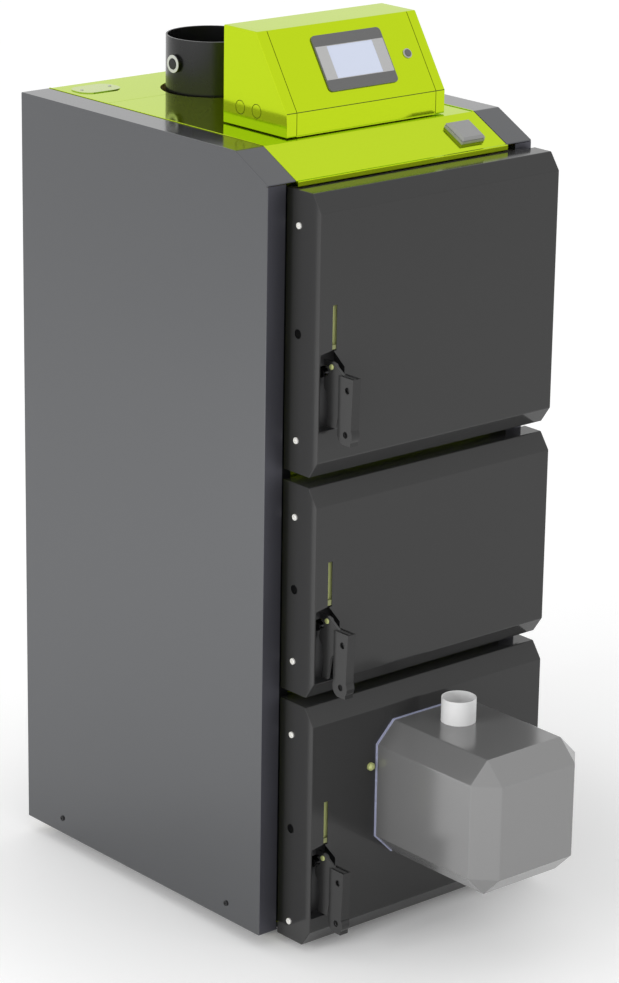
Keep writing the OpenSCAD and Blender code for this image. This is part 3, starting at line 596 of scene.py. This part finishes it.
def soften(node, radius, material, angle=40):
    """Copy of a node whose edges are broken to a radius, in the node's place."""
    piece = copy_of(node)
    edit()
    break_edges(radius, angle)
    leave()
    place(piece, BODIES[node], material, SLOTS[node], node)


# Casing

def build_panel(node):
    """Side panel with bent outer edges, a relief slit below the sloping flange, and painted shade
    on its front faces.
    """
    piece = copy_of(node)
    low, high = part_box(node)
    outer, inward = (low.x, 1) if node == "left_panel" else (high.x, -1)

    def is_outer_bend(edge):
        """The long edges at the outside, and those across the front and the top."""
        size = edge.calc_length()
        spot = middle(edge)
        across = runs(edge, 0) and size > 0.03 and (near(spot.y, low.y) or near(spot.z, high.z))
        return is_fold(edge) and size > 0.02 and (near(spot.x, outer) or across)

    edit()
    bend(SHEET_BEND, is_outer_bend)
    leave()
    slope_foot = at(0, 0, CASING_H - CHAMFER_Z).z
    ends = sorted((outer - inward * JUST_PAST, outer + inward * SLIT_LENGTH))
    cut(piece, add_cube("slit cutter", (ends[0], low.y - JUST_PAST, slope_foot - SLIT_Z[0]),
                        (ends[1], low.y + SLIT_DEPTH, slope_foot - SLIT_Z[1])))
    place(piece, "boiler", "Panel paint", "panel_grey", node)
    # Its front faces take a darker copy of the panel paint: painted shade of the doors beside
    # them.
    mark(piece, "Flange paint", lambda centre, normal: normal.y < -FACING)


def build_top_cover(node, lip=False):
    """Top cover with a raised hem along the panels and a return folded down under its lip."""
    piece = copy_of(node)
    low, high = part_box(node)
    hems = (low.x + HEM_WIDTH, high.x - HEM_WIDTH)
    return_y = low.y + SHEET_BEND
    edit()
    for x in hems:
        bisect((x, 0, 0), (1, 0, 0))
    if lip:
        bisect((0, return_y, 0), (0, 1, 0))
    pick("faces", lambda f: f.normal.z > LEVEL and near(f.calc_center_median().z, high.z)
         and not hems[0] < f.calc_center_median().x < hems[1])
    extrude(0, 0, HEM)
    if lip:
        pick("faces", lambda f: f.normal.z < -LEVEL and near(f.calc_center_median().z, low.z)
             and f.calc_center_median().y < return_y)
        extrude(0, 0, -LIP_RETURN)
    break_edges(0.0005)
    leave()
    place(piece, "boiler", "Lime powder coat", "lime", node)


def build_cover_plate():
    """Thin plate on the rear cover, with a broken rim."""
    piece = copy_of("top_plate")
    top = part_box("top_plate")[1].z
    edit()
    pick("verts", lambda v: near(v.co.z, top))
    move(0, 0, -PLATE_THINNER)
    break_edges(0.0004, test=lambda e: near(middle(e).z, top - PLATE_THINNER))
    leave()
    place(piece, "boiler", "Cover plate paint", "lime", "top_plate")


def build_flue_sensor():
    """Dark sensor boss, cut short, with a white washer on its face."""
    low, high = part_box("flue_sensor")
    centre = halfway(low, high)
    boss = copy_of("flue_sensor")
    edit()
    pick("verts", lambda v: v.co.x < low.x + SENSOR_FACE)
    move(SENSOR_SHORTER, 0, 0)
    break_edges(0.0006)
    leave()
    place(boss, "boiler", "Dark steel", "dark_steel", "flue_sensor")
    foot, height = low.x + 0.0096, 0.0024
    washer = add_cylinder("sensor_washer", (foot, centre.y, centre.z), (-1, 0, 0),
                          (high.z - low.z) / 2, height, 64)
    edit()
    hollow(0, 0.0058)
    bend(0.0005, lambda e: is_fold(e) and near(middle(e).x, foot - height), steps=2)
    leave()
    place(washer, "boiler", "Pale trim", "plug_white")


def model_screw(name, radius, height, rim=0.45, socket=0.42, floor=0.35):
    """Screw head pointing up at the origin: rounded rim and hexagon socket, as shares of it."""
    piece = add_cylinder(name, (0, 0, 0), (0, 0, 1), radius, height, 32)
    edit()
    bend(height * rim, lambda e: is_fold(e) and near(middle(e).z, height))
    leave()
    cut(piece, add_cylinder("socket cutter", (0, 0, height * floor), (0, 0, 1), radius * socket,
                            height, 6))
    return piece


def set_copies(name, first, places):
    """Copies of a piece modelled at the origin, one at each (spot, direction), joined."""
    copies = []
    for spot, direction in places:
        twin = first.copy()
        twin.data = first.data.copy()
        bpy.context.scene.collection.objects.link(twin)
        activate(twin)
        twin.location = spot
        twin.rotation_euler = turn_to(direction)
        copies.append(settle(twin, "twin"))
    discard(first)
    activate(copies[0])
    for twin in copies:
        twin.select_set(True)
    bpy.ops.object.join()
    piece = bpy.context.object
    piece.name = piece.data.name = name
    return piece


def build_casing_screws():
    """Socket screws at the foot of the side panels and on the small cover plate."""
    spots = [(at(x, y, PANEL_SCREWS_Z), (way, 0, 0))
             for y in PANEL_SCREWS_Y for x, way in ((0, -1), (2 * MID_X, 1))]
    piece = set_copies("casing_screw_heads", model_screw("screw_head", 0.005, 0.0024), spots)
    place(piece, "boiler", "Dark steel", "dark_steel", "casing_screws")
    low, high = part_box("top_plate")
    plate = halfway(low, high)
    lids = [(Vector((plate.x + side * 0.030, plate.y, high.z - PLATE_THINNER)), (0, 0, 1))
            for side in (-1, 1)]
    piece = set_copies("cover_plate_screws", model_screw("plate_screw", 0.0028, 0.0009), lids)
    place(piece, "boiler", "Pale trim", "zinc")


# Doors

def door_facts(door):
    """Lowest and highest point of a cover, head of the CAD's latch cut-out, hinge heights."""
    low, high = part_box(f"{door}_door_cover")
    head_low, head_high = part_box(f"{door}_pivot_head")
    notch_top = (head_low.z + head_high.z) / 2 + PIVOT_DOWN / 1000
    return low, high, notch_top, (low.z + HINGE_MARGIN / 1000, high.z - HINGE_MARGIN / 1000)


def side_openings(door, low, high):
    """Heights of the two cover screws and of the hole between them."""
    lower, upper = low.z + SCREW_UP[door], high.z - SCREW_DOWN
    return lower, upper, (lower + upper) / 2


def latch_cutter(low, notch_top, head):
    """Cut-out for a latch: a tall window whose head rises to the slot and falls beyond it."""
    x0, x1 = (low.x + x for x in WINDOW_X)
    piece = add_cube("latch cutter", (x0, low.y - PAST, notch_top - WINDOW_H),
                     (x1, low.y + CUT_DEPTH, head))
    rise_x, rise_z = WINDOW_RISE
    rim = ((x0, head - rise_z), (x0 + rise_x, head), (x1, head - WINDOW_FALL))
    edit()
    for (ax, az), (bx, bz) in zip(rim, rim[1:]):
        bisect((ax, 0, az), (az - bz, 0, bx - ax), clear=True)
    leave()
    return piece


def build_door_cover(door):
    """Folded cover: bevelled top and bottom, bent edges, latch cut-out, slot and hinge windows."""
    low, high, notch_top, hinges = door_facts(door)
    head = notch_top - NOTCH_DROP[door] / 1000
    piece = add_cube(f"{door}_cover_sheet", low, high)
    edit()
    for z in (high.z - BEVEL_Z / 1000, low.z + BEVEL_Z / 1000):
        bisect((0, 0, z), (0, 0, 1))
    pick("verts", lambda v: near(v.co.y, low.y) and (near(v.co.z, low.z) or near(v.co.z, high.z)))
    move(0, BEVEL_Y / 1000, 0)
    pick("faces", lambda f: f.normal.y > FACING)
    bpy.ops.mesh.delete(type="FACE")
    bend(COVER_BEND)
    leave()
    thicken(piece, COVER_WALL)
    lever_x = low.x + LEVER_IN / 1000
    frame_y = at(0, FRAME_Y, 0).y
    cutters = [
        latch_cutter(low, notch_top, head),
        add_cube("slot cutter", (lever_x - SLOT_HALF, low.y - PAST, head - SLOT_OVERLAP),
                 (lever_x + SLOT_HALF, low.y + CUT_DEPTH, notch_top + SLOT_H)),
        add_cube("hinge side cutter",
                 (high.x - HINGE_SIDE_X, at(0, HINGE_SIDE_Y, 0).y, low.z - PAST),
                 (high.x + PAST, frame_y, high.z + PAST)),
        add_cube("flange cutter", (high.x - FLANGE_X, at(0, FLANGE_Y, 0).y, low.z - PAST),
                 (high.x + PAST, high.y + PAST, high.z + PAST))]
    for z in hinges:
        cutters.append(add_cube("hinge cutter",
                                (high.x - HINGE_X, at(0, HINGE_Y, 0).y, z - HINGE_HALF),
                                (high.x + PAST, frame_y, z + HINGE_HALF)))
    radii = (SCREW_HOLE_R, SCREW_HOLE_R, PLUG_R)
    for z, radius in zip(side_openings(door, low, high), radii):
        cutters.append(add_cylinder("side cutter", (low.x - PAST, at(0, COVER_SCREW_Y, 0).y, z),
                                    (1, 0, 0), radius, 0.015, 32))
    if door == "lower":
        centre = halfway(*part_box("burner_tube"))
        cutters.append(add_cylinder("fire tube cutter", (centre.x, low.y - PAST, centre.z),
                                    (0, 1, 0), FIRE_TUBE_R, 2 * PAST, 96))
    cut(piece, *cutters)
    close_cracks()
    place(piece, f"{door}_door", "Door paint", "door_grey", f"{door}_door_cover")


def build_slot_backing(door):
    """Strip of the lime door body that shows through the slot above a latch cut-out, in a darker
    lime that is painted shade.
    """
    low, _, notch_top, _ = door_facts(door)
    lever_x = low.x + LEVER_IN / 1000
    front = low.y + BACKING_IN
    foot = notch_top - NOTCH_DROP[door] / 1000 + BACKING_Z[0]
    piece = add_cube(f"{door}_slot_backing", (lever_x - BACKING_HALF, front, foot),
                     (lever_x + BACKING_HALF, front + BACKING_WALL, notch_top + BACKING_Z[1]))
    edit()
    bend(0.0002, steps=1)
    leave()
    place(piece, f"{door}_door", "Slot lime", SLOTS[f"{door}_door_core"])


def build_gap_shade_strip():
    """Black strip beside the left flange, standing in for the shade of the open gap there and seen
    at the ends of the gaps between the doors: painted shade.
    """
    low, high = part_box("front_frame")
    door_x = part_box("upper_door_cover")[0].x
    piece = add_cube("frame_edge_seal",
                     (door_x + GAP_SHADE_X[0], low.y + GAP_SHADE_Y[0], low.z + GAP_SHADE_SHORT),
                     (door_x + GAP_SHADE_X[1], low.y + GAP_SHADE_Y[1], high.z - GAP_SHADE_SHORT))
    edit()
    bend(0.0004, steps=2)
    leave()
    place(piece, "boiler", "Black plastic", "dark_steel")


def build_latch(door):
    """Lever plate and channel grip with broken edges, and the grip's two through holes."""
    # The lever plate takes the lighter copy of the door paint: painted light.
    soften(f"{door}_latch_lever", 0.0005, "Lever paint", angle=30)
    grip = copy_of(f"{door}_latch_grip")
    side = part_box(f"{door}_latch_grip")[0].x - PAST
    edit()
    break_edges(0.0007, 30, lambda e: e.calc_length() > 0.008)
    leave()
    notch_top = door_facts(door)[2]
    cut(grip, *[add_cylinder("grip cutter", (side, at(0, y, 0).y, notch_top + z / 1000),
                             (1, 0, 0), GRIP_HOLE_R, 0.04, 32) for y, z in GRIP_HOLES])
    place(grip, f"{door}_lever", "Grip paint", "door_grey", f"{door}_latch_grip")


def build_side_plug(door):
    """Dark cupped plug in the hole between the two side screws."""
    low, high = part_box(f"{door}_door_cover")
    depth = 0.0034
    spot = (low.x + depth, at(0, COVER_SCREW_Y, 0).y, side_openings(door, low, high)[2])
    piece = add_cylinder(f"{door}_side_plug", spot, (-1, 0, 0), PLUG_R, depth, 40)
    edit()
    pick("faces", lambda f: f.normal.x < -FACING)
    bpy.ops.mesh.inset(thickness=0.0011)
    extrude(0.0012, 0, 0)
    bend(0.0003, lambda e: is_fold(e) and near(middle(e).x, low.x, 0.0002), steps=2)
    leave()
    place(piece, f"{door}_door", "Black plastic", "door_grey")


def build_cover_screws(door):
    """Two bright socket screws at the latch side of a cover."""
    low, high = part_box(f"{door}_door_cover")
    lower, upper, _ = side_openings(door, low, high)
    places = [((low.x, at(0, COVER_SCREW_Y, 0).y, z), (-1, 0, 0)) for z in (lower, upper)]
    piece = set_copies(f"{door}_cover_screw_heads", model_screw("cover_screw", 0.0055, 0.003),
                       places)
    place(piece, f"{door}_door", "Zinc", SLOTS[f"{door}_cover_screws"], f"{door}_cover_screws")


# Burner

def build_burner_cover():
    """Pressed cover: every edge but the rear ones cut off, then bent to a small radius."""
    low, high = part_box("burner_cover")
    piece = add_cube("burner_shell", low, high)
    edit()
    bend(BURNER_CUT / 1000, lambda e: not near(middle(e).y, high.y), steps=1)
    bend(SHEET_BEND, lambda e: is_fold(e) and not near(middle(e).y, high.y))
    leave()
    centre = halfway(*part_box("pellet_inlet"))
    cut(piece, add_cylinder("inlet cutter", (centre.x, centre.y, high.z - 0.06), (0, 0, 1),
                            INLET_R, 0.1, 64))
    place(piece, "lower_door", "Burner paint", "burner_grey", "burner_cover")


def build_pellet_inlet():
    """Open stub with a rounded lip."""
    low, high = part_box("pellet_inlet")
    centre = halfway(low, high)
    piece = add_cylinder("pellet_stub", (centre.x, centre.y, low.z), (0, 0, 1),
                         (high.x - low.x) / 2, high.z - low.z, 64)
    edit()
    hollow(2, 0.002)
    bend(0.0007, lambda e: near(middle(e).z, high.z, 0.0002) and is_fold(e))
    leave()
    place(piece, "lower_door", "White plastic", "plug_white", "pellet_inlet")


# Control box

def build_control_box():
    """Housing with two cheeks, and the folded front sheet between them, with real seams darkened
    by painted shade.
    """
    low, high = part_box("control_body")
    low = Vector((low.x, low.y, at(0, 0, CASING_H + BOX_GAP).z))
    sill = Vector((0, low.y, at(0, 0, CASING_H + SILL_UP).z))
    brow = Vector((0, low.y + BROW_IN, high.z))
    slope = Vector((0, sill.z - brow.z, brow.y - sill.y)).normalized()
    cheeks = (low.x + CHEEK, high.x - CHEEK)
    holes = [Vector((0, low.y + y, low.z + KNOCK_OUT_Z)) for y in KNOCK_OUTS_Y]

    def is_front(face):
        """The upright face of the front and the sloping one."""
        return face.normal.y < -0.5 or near(face.normal.dot(slope), 1)

    def sill_cutter():
        """Groove along the fold between these two."""
        return add_cube("sill cutter", (low.x - JUST_PAST, low.y - JUST_PAST, sill.z - SEAM / 2),
                        (high.x + JUST_PAST, low.y + GROOVE_DEPTH, sill.z + SEAM / 2))

    body = add_cube("control_housing", low, high)
    edit()
    bisect(sill, slope, clear=True)
    for x in cheeks:
        bisect((x, 0, 0), (1, 0, 0))
    pick("faces", lambda f: cheeks[0] < f.calc_center_median().x < cheeks[1] and is_front(f))
    bpy.ops.mesh.delete(type="FACE")
    bend(SHEET_BEND)
    leave()
    thicken(body, BOX_WALL)
    rings = []
    for hole in holes:
        ring = add_cylinder("knock-out cutter", (low.x - JUST_PAST, hole.y, hole.z), (1, 0, 0),
                            KNOCK_OUT_R, 0.0026, 64)
        edit()
        hollow(0, SEAM)
        leave()
        rings.append(ring)
    cut(body, sill_cutter(), *rings)
    place(body, "boiler", "Lime powder coat", "lime", "control_body")

    def in_seam(spot, normal):
        """Whether a face is inside a knock-out ring, the groove or a gap at a cheek, where painted
        shade goes.
        """
        ringed = low.x + 0.0001 < spot.x < low.x + 0.0018 and any(
            (Vector((0, spot.y, spot.z)) - hole).length < KNOCK_OUT_R + 0.0005 for hole in holes)
        grooved = low.y + 0.0001 < spot.y < low.y + 0.0015 and abs(spot.z - sill.z) < 0.0008
        edge = abs(normal.x) > FACING and any(abs(spot.x - x) < 0.0016 for x in cheeks)
        return ringed or grooved or edge

    # Faces in the rings, the groove and the gaps at the cheeks take a dark lime: painted shade.
    mark(body, "Seam shade", in_seam)

    front = add_cube("control_front_sheet", low + Vector((0, 0, 0.001)), high)
    edit()
    bisect(sill, slope, clear=True)
    for x, way in ((cheeks[0] + SEAM, -1), (cheeks[1] - SEAM, 1)):
        bisect((x, 0, 0), (way, 0, 0), clear=True)
    pick("faces", lambda f: not is_front(f))
    bpy.ops.mesh.delete(type="FACE")
    bend(SHEET_BEND)
    leave()
    thicken(front, BOX_WALL)
    up = Vector((0, brow.y - sill.y, brow.z - sill.z)).normalized()
    bezel = halfway(*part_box("display_bezel"))
    window = add_cube("window cutter", -Vector(DISPLAY_HALF), DISPLAY_HALF)
    window.rotation_euler = (math.atan2(up.z, up.y), 0, 0)
    window.location = Vector((bezel.x, 0, 0)) + sill + up * DISPLAY_UP
    settle(window, "window cutter")
    button = halfway(*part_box("power_button"))
    knob = add_cylinder("button cutter", button - slope * 0.02, slope, BUTTON_R, 0.04, 48)
    cut(front, window, knob, sill_cutter())
    place(front, "boiler", "Lime powder coat", "lime", "control_front")
    mark(front, "Seam shade", in_seam)


def build_switch_box():
    """Base, neck and lid of the switch box, stacked square to the slope."""
    points = [v.co.copy() for v in NODES["switch_box"].data.vertices]
    cap = max(NODES["switch_box"].data.polygons, key=lambda f: f.area * (f.normal.z > 0.7))
    up = cap.normal.copy()
    along = up.cross(Vector((1, 0, 0))).normalized()
    foot = min(p.dot(up) for p in points)
    base = [p for p in points if p.dot(up) < foot + 0.0002]
    wide = max(p.x for p in base) - min(p.x for p in base)
    deep = max(p.dot(along) for p in base) - min(p.dot(along) for p in base)
    foot_h, neck_in, neck_h, lid_h = 0.0052, 0.0016, 0.0006, 0.0044
    neck, taper = 0.0036, 0.009
    piece = add_cube("switch_box_shell", (-wide / 2, -deep / 2, 0), (wide / 2, deep / 2, foot_h))
    edit()
    pick("faces", lambda f: f.normal.z > FACING)
    bpy.ops.mesh.inset(thickness=neck_in)
    extrude(0, 0, neck_in)
    extrude(0, 0, neck_h)
    bpy.ops.transform.resize(value=(wide / (wide - neck), deep / (deep - neck), 1))
    extrude(0, 0, lid_h)
    bpy.ops.transform.resize(value=((wide - taper) / wide, (deep - taper) / deep, 1))
    bend(0.0006, lambda e: is_fold(e, 30), steps=2)
    leave()
    piece.rotation_euler = (math.atan2(-up.y, up.z), 0, 0)
    piece.location = sum(base, Vector()) / len(base)
    settle(piece, "switch_box_shell")
    place(piece, "boiler", "Switch plastic", "box_grey", "switch_box")


class BOILER_OT_casing(bpy.types.Operator):
    """Finishes the panels, the top covers, the base frame and the rear"""
    bl_idname = "boiler.casing"
    bl_label = "Casing"

    def execute(self, context):
        tint = context.scene.boiler_finish
        dress(paint("Panel paint", tint.panel, 0.1, EVEN, bump=0.01, metallic=0.85),
              "left_panel", "right_panel", "rear_panel")
        # Darker, bluer copy of the panel paint for the front faces of the side panels: painted
        # shade.
        paint("Flange paint", "#505057", 0.42, EVEN, bump=0.01, metallic=0.85)
        dress(paint("Lime powder coat", tint.lime, 0.07, EVEN, bump=0.008, metallic=0.9,
                    specular_tint=(0.89, 0.935, 0.71, 1.0)),
              "top_cover_rear", "top_cover_front", "front_frame")
        dress(paint("Dark steel", "#3E3E3F", 0.25, bump=0.01, metallic=0.9),
              "base_frame", "flue_spigot", "flue_sensor", "hinge_brackets", "casing_screws",
              "latch_keepers")
        dress(metal("Boiler plate", "#8C8C8C", "#6A6864", 0.35, 1.0),
              "vessel", "water_sockets", "burner_tube")
        dress(metal("Zinc", "#FFFEFA", "#F4F3EE", 0.2, 0.25),
              "pellet_inlet", *of_doors("cover_screws"))
        # Pale lime of the door cores, pivot heads and burner nuts: its paleness is a painted
        # reflection.
        paint("Lime undercoat", "#C6CD88", 0.3, metallic=0.2)
        dress(paint("Mineral wool", "#C9B458", 0.9, 0.2, 220.0, bump=0.6, distance=0.002),
              "insulation")
        dress(paint("Cast lining", "#8C7A60", 0.8, 0.15, 300.0, bump=0.4, distance=0.001),
              "chamber_lining", "ash_pan")
        paint("White plastic", "#EFEFEF", 0.35)
        paint("Pale trim", "#C2C2C2", 0.4)
        dress(paint("Cover plate paint", "#B9CC66", 0.12, bump=0.008, metallic=0.8), "top_plate")
        dress(paint("Gland plastic", "#2A2A2C", 0.5), "cable_glands")
        for node in ("left_panel", "right_panel"):
            build_panel(node)
        soften("rear_panel", 0.0004, "Panel paint", angle=30)
        build_top_cover("top_cover_front", lip=True)
        build_top_cover("top_cover_rear")
        build_cover_plate()
        soften("flue_spigot", 0.0008, "Dark steel")
        build_flue_sensor()
        soften("base_frame", 0.0015, "Dark steel")
        soften("hinge_brackets", 0.0006, "Dark steel")
        soften("latch_keepers", 0.0005, "Dark steel")
        build_casing_screws()
        return {"FINISHED"}


class BOILER_OT_doors(bpy.types.Operator):
    """Finishes the three doors with their cores, liners and ropes"""
    bl_idname = "boiler.doors"
    bl_label = "Doors"

    def execute(self, context):
        tint = context.scene.boiler_finish
        gloss = {"cloud": EVEN, "bump": 0.008, "ior": 1.36}
        dress(paint("Door paint", tint.door, 0.1, **gloss), *of_doors("door_cover"))
        # Lighter copy of the door paint for the lever plates: painted light against the shade in
        # the latch pocket.
        dress(paint("Lever paint", "#474747", 0.12, **gloss), *of_doors("latch_lever"))
        dress(paint("Grip paint", "#2F2F2F", 0.12, **gloss), *of_doors("latch_grip"))
        dress(bpy.data.materials["Lime undercoat"], *of_doors("door_core", "pivot_head"),
              "burner_nuts")
        dress(paint("Tray paint", "#3C3C3D", 0.35), *of_doors("door_liner", "latch_pocket"))
        dress(paint("Seal rope", "#D8D2C4", 0.95, 0.1, 400.0, bump=0.5, distance=0.001),
              *of_doors("door_rope"))
        # Black of the side plugs, also used for the strip of painted shade in the gap at the left
        # flange.
        paint("Black plastic", "#0C0C0D", 0.5, ior=1.2)
        # Darker copy of the pale lime for the strip behind the slot: painted shade over its
        # painted reflection.
        paint("Slot lime", "#8E9362", 0.4, metallic=0.2)
        build_gap_shade_strip()
        for door in DOORS:
            build_door_cover(door)
            build_latch(door)
            build_cover_screws(door)
            build_side_plug(door)
            build_slot_backing(door)
            soften(f"{door}_pivot_head", 0.0006, "Lime undercoat", angle=30)
        return {"FINISHED"}


class BOILER_OT_burner(bpy.types.Operator):
    """Finishes the burner on the lower door"""
    bl_idname = "boiler.burner"
    bl_label = "Burner"

    def execute(self, context):
        tint = context.scene.boiler_finish
        dress(paint("Burner paint", tint.burner, 0.16, EVEN, bump=0.01, metallic=0.45),
              "burner_cover")
        dress(paint("Flange coating", tint.flange, 0.25, metallic=0.2), "burner_flange")
        build_burner_cover()
        build_pellet_inlet()
        return {"FINISHED"}


class BOILER_OT_control_box(bpy.types.Operator):
    """Finishes the control box, its display, the power button and the switch box"""
    bl_idname = "boiler.control_box"
    bl_label = "Control box"

    def execute(self, context):
        tint = context.scene.boiler_finish
        dress(bpy.data.materials["Lime powder coat"], "control_body", "control_front")
        # Dark lime for the seams of the control box: painted shade.
        paint("Seam shade", "#4A5A08", 0.5)
        dress(paint("Bezel plastic", "#686868", 0.4), "display_bezel", "power_button")
        dress(bpy.data.materials["Pale trim"], "display_panel", "button_ring")
        dress(paint("Display glass", tint.screen, 0.08), "display_screen")
        dress(paint("Switch plastic", "#9E9E9E", 0.45), "switch_box")
        build_control_box()
        build_switch_box()
        soften("display_bezel", 0.0006, "Bezel plastic")
        soften("button_ring", 0.0004, "Pale trim")
        soften("power_button", 0.0008, "Bezel plastic")
        return {"FINISHED"}


def background_ray(tree):
    """1 for rays that show the background: straight, mirrored or through glass."""
    rays = tree.nodes.new("ShaderNodeLightPath").outputs
    shown = calculate(tree, "MAXIMUM", rays["Is Camera Ray"], rays["Is Glossy Ray"])
    return calculate(tree, "MAXIMUM", shown, rays["Is Transmission Ray"])


def lift_floor(tree, body):
    """Lets the floor fade to white away from the boiler, for the background only."""
    spot = tree.nodes.new("ShaderNodeTexCoord").outputs["Object"]
    radius = tree.nodes.new("ShaderNodeVectorMath")
    radius.operation = "LENGTH"
    feed(tree, spot, radius.inputs[0])
    ramp = tree.nodes.new("ShaderNodeFloatCurve")
    points = ramp.mapping.curves[0].points
    # At the boiler the floor still glows at 0.35, which lightens the boiler's shadow on it:
    # painted light.
    points[0].location = (0.0, 0.35)
    points[1].location = (1.0, 1.0)
    for x, y in ((0.1, 0.4), (0.2, 0.8), (0.34, 0.93), (0.6, 0.97)):
        points.new(x, y)
    feed(tree, span(tree, radius.outputs["Value"], 0.0, 1.0, FADE_END), ramp.inputs["Value"])
    shown = calculate(tree, "MULTIPLY", ramp.outputs["Value"], background_ray(tree))
    feed(tree, calculate(tree, "MULTIPLY", shown, FLOOR_GLOW), body.inputs["Emission Strength"])


class BOILER_OT_stage(bpy.types.Operator):
    """Sets the floor, the studio light and the camera"""
    bl_idname = "boiler.stage"
    bl_label = "Stage"

    def execute(self, context):
        stage = context.scene.boiler_stage
        floor_paint = bpy.data.materials.new("Studio floor")
        floor_paint.use_nodes = True
        body = floor_paint.node_tree.nodes["Principled BSDF"]
        body.inputs["Base Color"].default_value = (*stage.floor, 1.0)
        body.inputs["Roughness"].default_value = 0.9
        body.inputs["Emission Color"].default_value = (1.0, 1.0, 1.0, 1.0)
        lift_floor(floor_paint.node_tree, body)
        bpy.ops.mesh.primitive_plane_add(size=stage.floor_size, location=(0, 0, 0))
        floor = context.object
        floor.name = "studio_floor"
        floor.data.materials.append(floor_paint)

        world = bpy.data.worlds.new("Studio")
        context.scene.world = world
        world.use_nodes = True
        tree = world.node_tree
        light = tree.nodes["Background"]
        feed(tree, span(tree, background_ray(tree), stage.fill, 1.0), light.inputs["Strength"])
        light.inputs["Color"].default_value = (1.0, 1.0, 1.0, 1.0)

        for name, power, spot, aim in (
                ("Side softbox", stage.side_light, (-4.2, 0.0, 1.5), (0.0, 0.0, 0.8)),
                ("Front softbox", stage.front_light, (2.4, -4.0, 1.9), (0.0, 0.0, 0.7))):
            lamp = bpy.data.lights.new(name, "AREA")
            lamp.energy = power
            lamp.size = SOFTBOX_SIZE
            softbox = bpy.data.objects.new(name, lamp)
            softbox.visible_glossy = False
            softbox.location = spot
            way = Vector(aim) - Vector(spot)
            softbox.rotation_euler = way.to_track_quat("-Z", "Y").to_euler()
            context.scene.collection.objects.link(softbox)

        view = bpy.data.cameras.new("Camera")
        view.lens = stage.lens
        view.sensor_width = SENSOR_WIDTH
        view.clip_end = VIEW_END
        camera = bpy.data.objects.new("Camera", view)
        camera.location = stage.camera_place
        camera.rotation_euler = stage.camera_turn
        context.scene.collection.objects.link(camera)
        context.scene.camera = camera
        context.scene.view_settings.view_transform = "Standard"
        return {"FINISHED"}


STEPS = (BOILER_OT_casing, BOILER_OT_doors, BOILER_OT_burner, BOILER_OT_control_box,
         BOILER_OT_stage)


class BOILER_PT_steps(bpy.types.Panel):
    """Steps that dress the boiler"""
    bl_label = "Boiler"
    bl_space_type = "VIEW_3D"
    bl_region_type = "UI"
    bl_category = "Boiler"

    def draw(self, context):
        """Lists the steps and then the settings."""
        for step in STEPS:
            self.layout.operator(step.bl_idname)
        for settings in (context.scene.boiler_finish, context.scene.boiler_stage):
            for name in settings.bl_rna.properties.keys():
                if name not in ("rna_type", "name"):
                    self.layout.prop(settings, name)


CLASSES = (BoilerFinish, BoilerStage, *STEPS, BOILER_PT_steps)


def register():
    """Adds the classes and the settings of the scene."""
    for kind in CLASSES:
        bpy.utils.register_class(kind)
    bpy.types.Scene.boiler_finish = bpy.props.PointerProperty(type=BoilerFinish)
    bpy.types.Scene.boiler_stage = bpy.props.PointerProperty(type=BoilerStage)


def unregister():
    """Takes them away again."""
    del bpy.types.Scene.boiler_stage
    del bpy.types.Scene.boiler_finish
    for kind in reversed(CLASSES):
        bpy.utils.unregister_class(kind)


def main():
    """Dresses the boiler."""
    register()
    powder_coat_group()
    grain_group()
    crisp_group()
    for step in STEPS:
        area, name = step.bl_idname.split(".")
        getattr(getattr(bpy.ops, area), name)()


if __name__ == "__main__":
    main()
